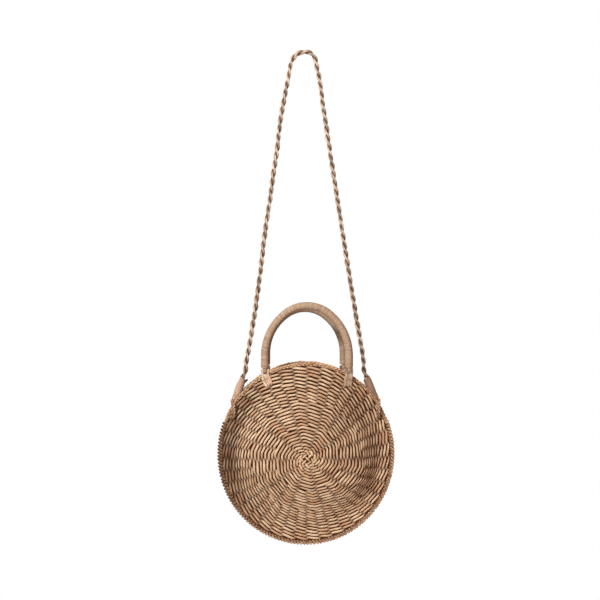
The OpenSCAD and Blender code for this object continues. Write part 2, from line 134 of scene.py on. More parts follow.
# %% From lines to a mesh of strands
def sweep_section(name, lines, half_thick, extra_wide, wide, swell, loop, round_steps):
    """A mesh of a round or flattened section that is swept along each of the lines."""
    curve = bpy.data.curves.new(name, "CURVE")
    curve.dimensions, curve.fill_mode, curve.bevel_mode = "3D", "FULL", "ROUND"
    curve.twist_mode = "MINIMUM" if wide is None else "Z_UP"
    curve.bevel_depth, curve.extrude, curve.bevel_resolution = half_thick, extra_wide, round_steps
    for i, line in enumerate(lines):
        spline = curve.splines.new("POLY")
        spline.points.add(len(line) - 1)
        spline.points.foreach_set("co", np.c_[line, np.ones(len(line))].ravel())
        spline.use_cyclic_u = loop
        if wide is not None:
            spline.points.foreach_set("tilt", tilt_to(line, wide[i], loop))
        if swell is not None:
            spline.points.foreach_set("radius", np.broadcast_to(swell[i], len(line)))
    holder = add_object(name + "_line", curve)
    swept = holder.evaluated_get(bpy.context.evaluated_depsgraph_get())
    mesh = bpy.data.meshes.new_from_object(swept)
    bpy.data.objects.remove(holder)
    mesh.name = name
    return mesh


# %% What the finishes need to know
def keep(mesh, name, values):
    """Keeps a number, or three, for every point of the mesh."""
    kind, field = ("FLOAT", "value") if values.ndim == 1 else ("FLOAT_VECTOR", "vector")
    layer_of_mesh = mesh.attributes.new(name, kind, "POINT")
    layer_of_mesh.data.foreach_set(field, values.astype(np.float32).ravel())


def share_proud(mesh, sides, middles, ways, low, high, dims=None):
    """0 where a point is no further than low from the middle, 1 from high on, times its dims. The finishes
    paint shade with it: a low share, deep or dimmed, gets a dark colour. How far is measured along the ways,
    and where ways is None straight from the middle."""
    at = np.empty(len(mesh.vertices) * 3, np.float32)
    mesh.vertices.foreach_get("co", at)
    off = at.reshape(-1, 3) - np.concatenate(middles).repeat(sides, axis=0)
    if ways is None:
        height = np.linalg.norm(off, axis=1)
    else:
        height = (off * np.concatenate(ways).repeat(sides, axis=0)).sum(1)
    share = np.clip((height - low) / (high - low), 0, 1)
    return share if dims is None else share * np.concatenate(dims).repeat(sides)


# %% Laying strands
def lay(name, lines, half_thick, extra_wide=0.0, wide=None, swell=None, loop=False, round_steps=1,
        *, proud):
    """One piece of many strands. wide, swell and the first, second and last of proud are lists,
    one entry for each line. proud is what share_proud is given, from the middles on."""
    mesh = sweep_section(name, lines, half_thick, extra_wide, wide, swell, loop, round_steps)
    points = [len(line) for line in lines]
    sides = len(mesh.vertices) // sum(points)
    angle = np.tile(np.arange(sides) / sides * 2 * math.pi, sum(points))
    along = np.concatenate([arc(line) for line in lines]).repeat(sides)
    keep(mesh, "tone", np.repeat(chance.random(len(lines)), points).repeat(sides))
    keep(mesh, "place", np.stack([along, half_thick * np.cos(angle), half_thick * np.sin(angle)], 1))
    keep(mesh, "proud", share_proud(mesh, sides, *proud))
    bm = bmesh.new()
    bm.from_mesh(mesh)
    bmesh.ops.holes_fill(bm, edges=[e for e in bm.edges if e.is_boundary], sides=0)
    bm.to_mesh(mesh)
    bm.free()
    mesh.shade_smooth()
    print(f"{name}: {len(lines)} strands, {sum(arc(line)[-1] for line in lines):.2f} m,",
          f"{sum(len(p.vertices) - 2 for p in mesh.polygons)} triangles")
    return add_object(name, mesh)


# %% [markdown]
# ## Finishes: sums on sockets
# A material is a small net of nodes. To keep the recipes readable, a class wraps a socket so
# that plain sums on it add the Math nodes, and one method adds any other kind of node.

# %% Sockets that can be added and multiplied
class Value:
    def __init__(self, finish, socket):
        self.finish, self.socket = finish, socket

    def __add__(self, other):
        return self.finish.sum("ADD", self, other)

    def __radd__(self, other):
        return self.finish.sum("ADD", other, self)

    def __sub__(self, other):
        return self.finish.sum("SUBTRACT", self, other)

    def __rsub__(self, other):
        return self.finish.sum("SUBTRACT", other, self)

    def __mul__(self, other):
        return self.finish.sum("MULTIPLY", self, other)

    def __rmul__(self, other):
        return self.finish.sum("MULTIPLY", other, self)


# %% A finish and its nodes
class Finish:
    def __init__(self, name):
        self.material = bpy.data.materials.new(name)
        self.material.use_nodes = True
        self.tree = self.material.node_tree
        self.shader = self.tree.nodes["Principled BSDF"]

    def node(self, kind, settings=None, sockets=None, out=0):
        """Adds a node: its settings first, then the values or links of its sockets."""
        made = self.tree.nodes.new(kind)
        for key, value in (settings or {}).items():
            setattr(made, key, value)
        for key, value in (sockets or {}).items():
            self.put(made.inputs[key], value)
        return Value(self, made.outputs[out])

    def put(self, socket, value):
        if isinstance(value, Value):
            self.tree.links.new(value.socket, socket)
        else:
            socket.default_value = value

    def sum(self, operation, a, b):
        return self.node("ShaderNodeMath", {"operation": operation}, {0: a, 1: b})

    def stretch(self, vector, factors):
        return self.node("ShaderNodeVectorMath", {"operation": "MULTIPLY"}, {0: vector, 1: factors})

    def shift(self, vector, amount):
        return self.node("ShaderNodeVectorMath", {"operation": "ADD"}, {0: vector, 1: amount})

    def noise(self, vector, scale, detail=2.0):
        return self.node("ShaderNodeTexNoise", {}, {"Vector": vector, "Scale": scale, "Detail": detail})

    def mix(self, share, a, b):
        return self.node("ShaderNodeMix", {"data_type": "RGBA"}, {0: share, 6: a, 7: b}, out=2)

    def bump(self, height, distance):
        return self.node("ShaderNodeBump", {}, {"Height": height, "Distance": distance})

    def kept(self, name, out):
        """What lay keeps on every point: out 2 is a number, out 1 a vector."""
        return self.node("ShaderNodeAttribute", {"attribute_name": name}, out=out)

    def here(self):
        """The place on the object, counted from its own origin."""
        return self.node("ShaderNodeTexCoord", out=3)

    def set(self, **values):
        for key, value in values.items():
            self.put(self.shader.inputs[key.replace("_", " ").title().replace("Ior", "IOR")], value)
        return self.material


def linear(*rgb):
    """A colour as a paint chart gives it, 0 to 255, turned into the light that Blender counts."""
    return (*(((c / 255 + 0.055) / 1.055) ** 2.4 if c > 10 else c / 3295 for c in rgb), 1)


# %% [markdown]
# ## The straw's finish
# Each strand is paper straw that was dyed in one bath and twisted by hand, so its colour wanders along each
# strand and a little from strand to strand, and fine fibres run along it. The recipe reads the strand's own
# place and tone: slow noise for the drift of the colour, noise that is stretched along the strand for the
# fibres, and the same fibres again as a bump. What stands proud has the straw's colour, and what lies deep
# is painted a dark one, as painted shade. A faint brown glow is painted light in the grooves of the weave,
# the braid, the lacing and the mat behind the rows, so that a groove is never black.

# %% Straw in several colours
STRAW_ROUGH, STRAW_GLOSS, FIBRE_DEEP = 0.62, 0.35, 0.12 * MM
DRIFT_ACROSS, FIBRES_ALONG, FIBRES_ACROSS, TONE_APART = 60, 140, 2600, (9.0, 5.0, 7.0)
WANDER_SHARE, TONE_SHARE, FIBRE_SHARE = 2.0, 0.5, 0.9
BLACK = (0, 0, 0, 1)


def straw(name, light, dark, deep, drift=60.0, painted_glow=None):
    finish = Finish(name)
    proud, place, tone = finish.kept("proud", 2), finish.kept("place", 1), finish.kept("tone", 2)
    apart = finish.node("ShaderNodeCombineXYZ", {}, {i: tone * far for i, far in enumerate(TONE_APART)})
    slow = finish.stretch(place, (drift, DRIFT_ACROSS, DRIFT_ACROSS))
    fast = finish.stretch(place, (FIBRES_ALONG, FIBRES_ACROSS, FIBRES_ACROSS))
    drifting = finish.noise(finish.shift(slow, apart), 1.0)
    fibres = finish.noise(finish.shift(fast, apart), 1.0, 3.0)
    share = ((drifting - 0.5) * WANDER_SHARE + (tone - 0.5) * TONE_SHARE
             + (fibres - 0.5) * FIBRE_SHARE + 0.5)
    share = finish.node("ShaderNodeClamp", {}, {"Value": share})
    # Deep parts are mixed towards the deep colour: painted shade.
    lit = proud * proud * (3 - 2 * proud)
    colour = finish.mix(lit, linear(*deep), finish.mix(share, linear(*dark), linear(*light)))
    # The painted glow: a dim brown light painted into the deep parts, though no lamp is there.
    if painted_glow:
        finish.set(emission_color=finish.mix(lit, linear(*painted_glow), BLACK), emission_strength=1.0)
    return finish.set(base_color=colour, normal=finish.bump(fibres, FIBRE_DEEP),
                      roughness=STRAW_ROUGH, specular_ior_level=STRAW_GLOSS)


# Each straw's deep colour is painted shade, and its glow colour is painted light in the grooves.
GROOVE_GLOW = (52, 20, 0)
weave_straw = straw("straw_weave", (255, 221, 181), (206, 153, 112), (44, 17, 3), painted_glow=(40, 13, 0))
braid_straw = straw("straw_braid", (244, 202, 160), (176, 128, 90), (66, 30, 10), painted_glow=GROOVE_GLOW)
lacing_straw = straw("lacing_cord", (250, 212, 174), (186, 140, 104), (66, 32, 12), painted_glow=GROOVE_GLOW)
wrap_straw = straw("straw_wrap", (212, 178, 148), (170, 138, 112), (80, 52, 34), drift=30.0)
tie_straw = straw("straw_tie", (255, 228, 196), (222, 176, 142), (84, 48, 24))
rope_straw = straw("straw_rope", (244, 216, 190), (168, 138, 114), (108, 80, 60))
whipping_straw = straw("whipping_cord", (236, 198, 170), (178, 142, 116), (74, 44, 28))
# The mat behind the rows is a dark sheet of painted shade, with a little painted glow.
shade_mat_straw = straw("straw_shade_mat", (84, 48, 22), (60, 30, 10), (56, 28, 10), painted_glow=GROOVE_GLOW)
print("finishes:", [m.name for m in bpy.data.materials])

# %% [markdown]
# ## The shape of the bag
# Seen from the front the border is a circle whose top rises a little, where the mouth is. Each
# disc stands well out in the middle and comes in towards the border where it is laced: gently
# below, later at the left, and in a crease at the right. At the mouth it stays out. These few
# functions give any place on either disc, from an angle t, clockwise from straight up, and a
# share u of the way from the centre to the border.

# %% Places on the discs
WEAVE_Z = -0.603
BAG_R, MOUTH_RISE, MOUTH_END = 0.130, 0.013, math.radians(54)
BULGE, FLANGE_LEAN, WALL, SEAM_GAP = 0.035, 0.005, 0.004, 0.0003
CROWN = 0.2
BELOW, LEFT_SIDE, RIGHT_SIDE = (0.25, 0.97), (0.64, 0.97), (0.58, 0.9)
LEFT_AT, RIGHT_AT, SPREAD = (math.radians(a) for a in (275, 103, 60))
LEAN_FROM, LEAN_FULL, LEAN_SHARE = math.radians(60), math.radians(85), 0.8
RIM_D = 0.006
RIM_PAIR = (RIM_D + SEAM_GAP) / 2
turn = 2 * math.pi


def fold(t):
    """How far a direction is from straight up, to either side."""
    return np.abs((t + math.pi) % turn - math.pi)


def border_r(t):
    return BAG_R + MOUTH_RISE * ((1 + np.cos(t)) / 2) ** 3


def near(t, middle, spread):
    """1 at one direction, and less and less until 0 at a spread to both sides of it."""
    return 1 - smooth(0, spread, fold(t - middle))


def mouth(t):
    """1 in the middle of the mouth, and 0 from its two ends on."""
    return np.where(fold(t) < MOUTH_END, np.cos(math.pi / 2 * fold(t) / MOUTH_END), 0)


def step_share(i, t):
    """Where the wall starts (i is 0) and stops (i is 1) coming in, as a share of the radius."""
    return (BELOW[i] + (LEFT_SIDE[i] - BELOW[i]) * near(t, LEFT_AT, SPREAD)
            + (RIGHT_SIDE[i] - BELOW[i]) * near(t, RIGHT_AT, SPREAD))


def stand_off(u, t):
    step = smooth(step_share(0, t), step_share(1, t), u)
    return BULGE * (1 - CROWN * u * u) * (1 - (1 - mouth(t)) * step)


def lean(u, t):
    return FLANGE_LEAN * smooth(LEAN_FROM, LEAN_FULL, fold(t)) * smooth(LEAN_SHARE, 1, u)


def spot(side, u, t, off):
    r = u * border_r(t)
    y = side * (stand_off(u, t) + off) - lean(u, t)
    return np.stack([r * np.sin(t), y, WEAVE_Z + r * np.cos(t)], -1)


print("border from", border_r(math.pi), "to", border_r(0.0), "m, crown", stand_off(0.0, 0.0), "m")

# %% Layers on the wall
CENTRE, STEP_OUT, STEP_ROUND = 0.02, 0.01, 0.017


def wall_mid(side, u, t):
    return spot(side, u, t, (WALL + SEAM_GAP) / 2)


def outwards(side, u, t):
    """The way that the wall faces. At the very centre it faces straight forwards or back."""
    v = np.maximum(u, CENTRE)
    across = wall_mid(side, v + STEP_OUT, t) - wall_mid(side, v - STEP_OUT, t)
    around = wall_mid(side, v, t + STEP_ROUND) - wall_mid(side, v, t - STEP_ROUND)
    n = unit(np.cross(across, around))
    return n * side * np.sign(n[..., 1:2])


def layer(side, u, t, off):
    return wall_mid(side, u, t) + np.asarray(off)[..., None] * outwards(side, u, t)


def layer_at(side, x, z, off):
    t = np.arctan2(x, z - WEAVE_Z)
    return layer(side, np.hypot(x, z - WEAVE_Z) / border_r(t), t, np.asarray(off) + 0 * x)


def border_mid(side, t):
    return spot(side, (border_r(t) - RIM_D / 2) / border_r(t), t, RIM_PAIR)


def round_out(t):
    """The way straight out from the middle of the bag, in its own plane."""
    return np.stack([np.sin(t), 0 * t, np.cos(t)], -1)


print("the two borders' middles are", round(2 * RIM_PAIR, 4), "m apart")

# %% [markdown]
# ## The rope strap
# One rope about a metre long. Two thick plies are laid round each other, and each ply is three
# smaller yarns laid the other way, which is what keeps a rope from untwisting. It hangs over the
# hook, bends tightly there, and runs down to the two ends of the mouth. A smooth line goes through
# the same points as the CAD rope, and every yarn is a helix round a helix on that line. A core
# strand fills the middle. In the photograph the rope's ends lean towards the disc, so they are
# set in by a few millimetres: at the shank's foot, a little above it and at its top.

# %% The rope's line
STRAP_D, STRAP_END = 0.008, (0.0955, -0.484)
EYE_X, EYE_Z, EYE_TURN_R = 0.112037, -0.532617, 0.0136
SHANK_FOOT = np.array([0.113437, 0, -0.518442])
route = [
    (-89.5, -459), (-84, -430), (-79, -400), (-74.5, -370), (-70.5, -340), (-66.5, -308),
    (-63, -278), (-59, -248), (-54, -216), (-48.5, -175), (-43.5, -142), (-38.5, -98),
    (-33, -68), (-28, -40), (-25, -24), (-21.5, -9), (-16, -1), (-9, 3), (-1, 4),
    (6, 3), (11.5, -2), (15, -11), (17.5, -24), (20.5, -40), (24.5, -68),
    (29, -98), (35.5, -142), (40.5, -175), (47, -216), (52, -248), (56.5, -278),
    (61.5, -308), (66.5, -340), (71.5, -370), (76.5, -400), (81.6, -430), (86.6, -459)]
shank_top = np.array([STRAP_END[0], 0, STRAP_END[1]])
shank_way = unit(shank_top - SHANK_FOOT)
shank_len = float(np.linalg.norm(shank_top - SHANK_FOOT))
mirror = np.array([-1, 1, 1])
SET_IN_AT = (0, 12 * MM, shank_len)
SET_IN = {LEFT: (3.0 * MM, 4.0 * MM, 0.4 * MM), RIGHT: (-4.5 * MM, -7.0 * MM, -4.2 * MM)}
TOP_IN, NEXT_SHARE = np.array([SET_IN[RIGHT][-1], 0, 0]), 0.85
strap_line = np.array(
    [shank_top * mirror, (shank_top + STRAP_D * shank_way) * mirror]
    + [(x * MM, 0, z * MM) for x, z in route]
    + [shank_top + STRAP_D * shank_way + NEXT_SHARE * TOP_IN, shank_top + TOP_IN])
print("route of", len(strap_line), "points; shank", round(shank_len, 4), "m")

# %% Helices round helices
ROPE_LAY, YARN_LAY, PLIES, YARNS = 0.027, 0.019, 2, 3
KNOT_EVERY = 5


def curved(points, step):
    """A smooth line through the points, with a new point at every step."""
    s = arc(points)
    slope = np.gradient(points, s, axis=0)
    at = np.linspace(0, s[-1], int(s[-1] / step) + 1)
    i = np.clip(np.searchsorted(s, at, side="right") - 1, 0, len(s) - 2)
    h = (s[i + 1] - s[i])[:, None]
    k = (at - s[i])[:, None] / h
    return ((2 * k**3 - 3 * k**2 + 1) * points[i] + (k**3 - 2 * k**2 + k) * h * slope[i]
            + (3 * k**2 - 2 * k**3) * points[i + 1] + (k**3 - k**2) * h * slope[i + 1])


def rope(line, ply_off, yarn_off):
    """The yarns of a laid rope on a line that stays square to y. The offsets may be arrays."""
    s = arc(line)[:, None]
    along = direction(line)
    side = unit(np.cross(along, np.broadcast_to((0, 1.0, 0), line.shape)))
    lift = np.cross(side, along)
    ply_off, yarn_off = (np.broadcast_to(v, len(line))[:, None] for v in (ply_off, yarn_off))
    made = []
    for p in range(PLIES):
        a = turn * (s / ROPE_LAY + p / PLIES)
        for y in range(YARNS):
            b = turn * (y / YARNS - s / YARN_LAY)
            made.append(line + ply_off * (np.cos(a) * side + np.sin(a) * lift)
                        + yarn_off * (np.cos(a + b) * side + np.sin(a + b) * lift))
    return made


def uneven(count, size):
    """Small shifts to all sides, drawn at every fifth point and smoothed in between."""
    knots = chance.normal(0, size, (count // KNOT_EVERY + 2, 3))
    at = np.arange(count) / KNOT_EVERY
    return np.stack([np.interp(at, np.arange(len(knots)), knots[:, i]) for i in range(3)], 1)


print("the yarns turn round their ply", round(ROPE_LAY / YARN_LAY, 2), "times in a turn of the plies")

# %% The strap
LINE_STEP, STRAP_LENGTH = 1.7 * MM, 1.0116
PLY_OFF, YARN_OFF, YARN_R = 1.9 * MM, 1.05 * MM, 1.15 * MM
YARN_STRAYS, YARN_SWELLS, CORE_SWELL = 0.28 * MM, 0.12, 1.3
STRAP_LOW, STRAP_HIGH = 1.6 * MM, 3.9 * MM
strap_fine = curved(strap_line, LINE_STEP)
laid = rope(strap_fine, PLY_OFF, YARN_OFF)
strands = [line + uneven(len(line), YARN_STRAYS) for line in laid] + [strap_fine]
sizes = [1 + uneven(len(line), YARN_SWELLS)[:, 0] for line in laid]
sizes.append(np.full(len(strap_fine), CORE_SWELL))
strap = lay("strap_rope", strands, YARN_R, swell=sizes,
            proud=([strap_fine] * len(strands), None, STRAP_LOW, STRAP_HIGH))
dress(strap, rope_straw, "strap", "strap")
print("strap", round(arc(strap_fine)[-1], 4), "m from end to end")

# %% [markdown]
# ## The rope's eyes
# At each end the rope opens into strands and goes round both borders as a ring, on which the bag
# can swing. Four strands lie side by side in it, and their thickness comes and goes as a twisted
# strand's does. The shank above the ring swells until it is as thick as the strap. The cut tail
# stands out at the top of the whipping and frays: towards the disc at the left, and nearly behind
# the rope at the right.

# %% Beside the shank
WHIP_TOP = shank_len - 0.3 * MM
TAIL_SHOWS, TAIL_TURN = {LEFT: 3.0 * MM, RIGHT: 1.5 * MM}, {LEFT: 0, RIGHT: 1.3}
TAIL_LEN, TAIL_X, TAIL_ANGLE = 8 * MM, STRAP_D / 2, math.radians(18)
TAIL_YARNS, TAIL_POINTS, TAIL_R = 6, 9, 1.0 * MM
TAIL_FRAYS, FRAY_FROM, TAIL_SHORTEST, TAIL_DIFFERS = 0.4, 0.6, 0.8, 0.2


def on_shank(hand, across, deep, up):
    """A place beside the shank: across towards the bag's outside, deep to the back, up the rope."""
    out = np.array([shank_way[2], 0, -shank_way[0]])
    p = SHANK_FOOT + np.multiply.outer(across, out) + np.multiply.outer(up, shank_way)
    p = p + np.multiply.outer(deep, (0, 1, 0))
    set_in = np.interp(up, SET_IN_AT, SET_IN[hand])
    return p * ((1, 1, 1) if hand == RIGHT else mirror) + np.multiply.outer(set_in, (1, 0, 0))


def tail_yarns(hand):
    """The cut end: yarns in a circle that lean away from the rope and spread where they fray."""
    up = np.linspace(0, TAIL_LEN + TAIL_SHOWS[hand], TAIL_POINTS)
    frays = TAIL_FRAYS * smooth(FRAY_FROM, 1, up / up[-1])
    made = []
    for y in range(TAIL_YARNS):
        a = turn * y / TAIL_YARNS
        spread = TAIL_R * (1 + frays * chance.random())
        lean_out = -TAIL_X - np.sin(TAIL_ANGLE) * up + spread * math.cos(a)
        deep = spread * math.sin(a) - lean_out * math.sin(TAIL_TURN[hand])
        share = TAIL_SHORTEST + TAIL_DIFFERS * chance.random()
        made.append(on_shank(hand, lean_out * math.cos(TAIL_TURN[hand]), deep,
                             WHIP_TOP - TAIL_LEN + np.cos(TAIL_ANGLE) * up * share))
    return made


print("shank tops", [on_shank(hand, 0.0, 0.0, shank_len).round(4).tolist() for hand, _ in HANDS])

# %% Rings and eyes
RING_ACROSS, RING_IN, RING_SET_IN = (-2.7, -0.9, 0.9, 2.7), 0.6 * MM, 0.8
RING_STRAYS, RING_UNEVEN, RING_DEEP = 0.25 * MM, 0.5 * MM, 1.2 * MM
RING_WIDE, WIDER_ABOVE, RING_TWISTS, TWIST_APART = 0.75, 0.25, 17, 2.2
RING_POINTS, SIDE_WAVES, ROUND_WAVES = 120, 3, 5
RING_THIN, RING_SWELLS, RING_DARK, RING_LIGHTS = 0.66, 0.18, 0.2, 0.8
TAIL_START, TAIL_TIP, SHANK_THIN, SHANK_SWELLS = 0.7, 0.45, 0.8, 0.2
SHANK_BELOW, SHANK_POINTS, SHANK_FULL = 1.5 * MM, 40, 9 * MM
SHANK_PLY_OFF, SHANK_YARN_OFF = 1.95 * MM, 1.1 * MM
EYE_LOW, EYE_HIGH = 0.9 * MM, 2.0 * MM
ring_turn = np.r_[np.linspace(0, turn, RING_POINTS, endpoint=False), 0]


def ring_strands(hand):
    """The strands side by side round both borders. They lie closer together below."""
    made = []
    for across in RING_ACROSS:
        together = across * MM * (RING_WIDE + WIDER_ABOVE * np.cos(ring_turn))
        x = EYE_X - RING_IN + together + RING_STRAYS * np.sin(SIDE_WAVES * ring_turn + across)
        r = EYE_TURN_R + RING_UNEVEN * np.cos(ROUND_WAVES * ring_turn + across)
        made.append(np.stack([hand * x + RING_SET_IN * SET_IN[hand][0],
                              r * np.sin(ring_turn), EYE_Z + r * np.cos(ring_turn)], 1))
    return made


def eye(hand, name):
    ring, tail = ring_strands(hand), tail_yarns(hand)
    up = np.linspace(-SHANK_BELOW, shank_len, SHANK_POINTS)
    swell = SHANK_THIN + SHANK_SWELLS * smooth(0, SHANK_FULL, up)
    middle = on_shank(hand, 0 * up, 0 * up, up)
    shank = rope(middle, SHANK_PLY_OFF * swell, SHANK_YARN_OFF * swell)
    hub = np.array([0, 0, EYE_Z])
    inner = [r + (hub - r) * (0, 1, 1) * RING_DEEP / EYE_TURN_R for r in ring]
    twist = [0.5 + 0.5 * np.sin(RING_TWISTS * ring_turn + TWIST_APART * i) for i in range(len(ring))]
    sizes = [RING_THIN + RING_SWELLS * w for w in twist] + [swell] * len(shank)
    sizes += [np.linspace(TAIL_START, TAIL_TIP, TAIL_POINTS)] * len(tail)
    # The ring strands are painted darker where the twist makes them thin: painted shade in the twist's
    # grooves.
    painted_lit = [RING_DARK + RING_LIGHTS * w for w in twist]
    painted_lit += [np.ones(len(line)) for line in shank + tail]
    return lay(name, ring + shank + tail, YARN_R, swell=sizes,
               proud=(inner + [middle] * len(shank) + tail, None, EYE_LOW, EYE_HIGH, painted_lit))


eyes = []
for hand, word in HANDS:
    eyes.append(eye(hand, word + "_eye_rope"))
    dress(eyes[-1], lacing_straw, "strap", word + "_eye")

# %% [markdown]
# ## The whippings
# A whipping binds the rope's end to its own standing part: a soft straw cord wound tightly round
# both, thickest where the tail lies under it. It is one long coil, so it is one strand on a helix
# whose radius follows the spindle shape, with the turns touching. The left one is thickest in the
# middle, and the right one stays thick nearly to its top.

# %% Whippings
WHIP_D, WHIP_LEN, WHIP_LOW_R = 12 * MM, 36 * MM, STRAP_D * 0.56
WHIP_AT = (0, 0.1, 0.2, 0.35, 0.55, 0.75, 0.9, 1)
WHIP_SHARES = {LEFT: (-0.45, 0.3, 0.8, 1.3, 1.3, 0.9, 0.4, 0.1),
               RIGHT: (-0.45, 0.3, 0.8, 1.15, 1.25, 1.2, 1.05, 0.6)}
# How lit each whipping is painted: both get painted shade, the right one, behind the front border, the most.
WHIP_IN, WHIP_PAINTED_LIT = {LEFT: 0.9 * MM, RIGHT: 0.5 * MM}, {LEFT: 0.86, RIGHT: 0.7}
WHIP_CORD, TURN_APART, TURN_POINTS = 0.75 * MM, 1.02, 14
WHIP_LOW, WHIP_HIGH = 0.5 * MM, 1.4 * MM


def whipping(hand, name):
    turns = int(WHIP_LEN / (2.0 * WHIP_CORD * TURN_APART))
    k = np.linspace(0, 1, turns * TURN_POINTS + 1)
    bulk = np.interp(k, WHIP_AT, WHIP_SHARES[hand]) * (WHIP_D / 2 - WHIP_LOW_R) + WHIP_LOW_R - WHIP_CORD
    a = turn * turns * k * hand
    up = WHIP_TOP - WHIP_LEN + WHIP_CORD + (WHIP_LEN - 2 * WHIP_CORD) * k
    coil, inner = (on_shank(hand, r * np.cos(a) - WHIP_IN[hand], r * np.sin(a), up)
                   for r in (bulk, bulk - WHIP_CORD))
    return lay(name, [coil], WHIP_CORD, round_steps=2,
               proud=([inner], None, WHIP_LOW, WHIP_HIGH, [np.full(len(coil), WHIP_PAINTED_LIT[hand])]))


whippings = []
for hand, word in HANDS:
    whippings.append(whipping(hand, word + "_whipping_cord"))
    dress(whippings[-1], whipping_straw, "strap", word + "_whipping")

# %% [markdown]
# ## The twined discs
# Twining works with two weavers at once. Between each spoke and the next they cross, so at every
# spoke one passes in front and the other behind, and the front shows a row of long, slightly
# slanting stitches. That is a two-ply helix that makes half a turn for each spoke, and it is
# built as one. The rows lie a constant distance apart along the wall, so the table below turns
# "how far along the wall" into a share of the radius. Spokes are added twice on the way out, to
# keep the stitches about as long as the photograph shows.

# %% Distances along the wall
COLUMNS, STEPS, WEAVE_GAP = 360, 200, 0.3 * MM


def wall_table(side):
    """For every direction, the share of the radius at each even step along the wall."""
    t = np.arange(COLUMNS) / COLUMNS * turn
    reach = (border_r(t) - RIM_D - WEAVE_GAP) / border_r(t)
    even = np.linspace(0, 1, STEPS + 1)
    u = even[None, :] * reach[:, None]
    s = np.linalg.norm(np.diff(wall_mid(side, u, t[:, None]), axis=1), axis=2).cumsum(1)
    s = np.concatenate([np.zeros((COLUMNS, 1)), s], 1)
    return np.stack([np.interp(even, s[i] / s[i, -1], u[i]) for i in range(COLUMNS)]), s[:, -1]


tables = {side: wall_table(side) for side, _ in SIDES}


def look_up(side, t, f):
    """The share of the radius, and the length of the wall, at a share f of the way along it."""
    shares, lengths = tables[side]
    c = (t % turn) / turn * COLUMNS
    g = np.clip(f, 0, 1) * STEPS
    c0, g0 = np.floor(c).astype(int), np.minimum(np.floor(g).astype(int), STEPS - 1)
    cw, gw = c - c0, g - g0
    c0, c1 = c0 % COLUMNS, (c0 + 1) % COLUMNS
    low = shares[c0, g0] * (1 - cw) + shares[c1, g0] * cw
    high = shares[c0, g0 + 1] * (1 - cw) + shares[c1, g0 + 1] * cw
    return low * (1 - gw) + high * gw, lengths[c0] * (1 - cw) + lengths[c1] * cw


for side, word in SIDES:
    lengths = tables[side][1]
    print(f"{word} wall from {lengths.min():.4f} to {lengths.max():.4f} m along it")

# %% [markdown]
# ## Uneven rows
# A computer's rows are too even for straw. On the real bag each row wanders a little, its stitches differ in
# thickness, and near the middle the main spokes pull it into straight pieces. Noise on the finished mesh
# would tear the strands, so the unevenness goes into the lines themselves, as slow waves and a thickness for
# each stitch. Shade is also painted into the straw's colour where the wall turns away from the light, near
# the border and in a few given patches, and one function says how lit it is painted at any place.

# %% Spokes and corners
ROWS, FIRST_ROW, LAST_ROW = 25, 0.085, 0.985
MAIN_SPOKES, SECOND_FROM, THIRD_FROM = 10, 0.36, 0.62
STRAIGHT, LESS_STRAIGHT = 0.95, ((0.35, 0.1, 0.7), (0.55, 0.7, 0.98))


def spoke_times(f):
    """How many spokes there are for each main one, at a share f of the way along the wall."""
    return 1 if f < SECOND_FROM else 2 if f < THIRD_FROM else 4


def corners(t, f):
    """Rows are pulled straight between the main spokes, most of all near the middle."""
    half = math.pi / MAIN_SPOKES
    d = (t + half / 2) % (2 * half) - half
    pull = STRAIGHT
    for less, start, end in LESS_STRAIGHT:
        pull = pull - less * smooth(start, end, f)
    return 1 - pull * (1 - math.cos(half) / np.cos(d))


row_places = [FIRST_ROW + (LAST_ROW - FIRST_ROW) * row / (ROWS - 1) for row in range(ROWS)]
print("stitches in each row:", [MAIN_SPOKES * spoke_times(f) for f in row_places])

# %% Painted shade on the straw
SIDEWAYS_FROM, SIDEWAYS_DIM = 0.12, 0.15
EDGE_DIM, EDGE_FROM, EDGE_FULL = 0.06, 0.9, 0.95
SHADES = ((0.15, 80, 55, 0.6, 0.7, 0.8, 0.9), (0.22, 74, 78, 0.15, 0.4, 0.84, 0.93),
          (0.58, 272, 95, 0.7, 0.86, 2, 3))


def painted_lit_share(side, u, t):
    """How lit the straw is painted: 1 where no shade is painted on it. It is less where the wall looks
    sideways, near the border, and in each of the shades: how much, at which direction with which spread,
    both in degrees, and at which shares of the radius a shade starts, is full, fades and has ended."""
    sideways = np.abs(outwards(side, u, t)[:, 0])
    painted_lit = 1 - SIDEWAYS_DIM * np.clip(sideways - SIDEWAYS_FROM, 0, 1)
    for dim, at, spread, start, full, fades, ended in SHADES:
        ring = smooth(start, full, u) * (1 - smooth(fades, ended, u))
        painted_lit = painted_lit - dim * near(t, math.radians(at), math.radians(spread)) * ring
    return painted_lit - EDGE_DIM * smooth(EDGE_FROM, EDGE_FULL, u)


near_border = 0.85
for word, at in (("below", math.pi), ("left", LEFT_AT), ("right", RIGHT_AT)):
    print("clean near the border,", word, round(float(painted_lit_share(FRONT, near_border, np.array([at]))[0]), 2))

# %% Weavers
PLY_THICK, PLY_WIDE, PLY_ACROSS, PLY_OUT = 1.15 * MM, 0.5 * MM, 1.3 * MM, 1.1 * MM
PROUD_LOW, PROUD_HIGH = 0.25 * MM, 1.95 * MM
DRIFT_WAVES, ROW_DRIFT, PHASE_DRIFT, STAGGER_DRIFT = (2, 3, 5, 8), 0.22 * MM, 0.22, 0.12
LEVEL_TOP, STITCH_POINTS = 0.6, {1: 10, 2: 8, 4: 7}
STITCH_DIFFERS, STITCH_LEAST, STITCH_MOST, STITCH_SIZE, TOP_SIZE = 0.09, 0.8, 1.2, 0.95, 0.07


def wander(t, size):
    """A slow, closed drift: straw rows never run perfectly true."""
    return size * sum(chance.normal() / k * np.sin(k * t + turn * chance.random()) for k in DRIFT_WAVES)


def level_topped(phase):
    """A wave that stays up along the stitch and dives quickly at its ends."""
    wave = np.cos(phase)
    return np.sign(wave) * np.abs(wave) ** LEVEL_TOP


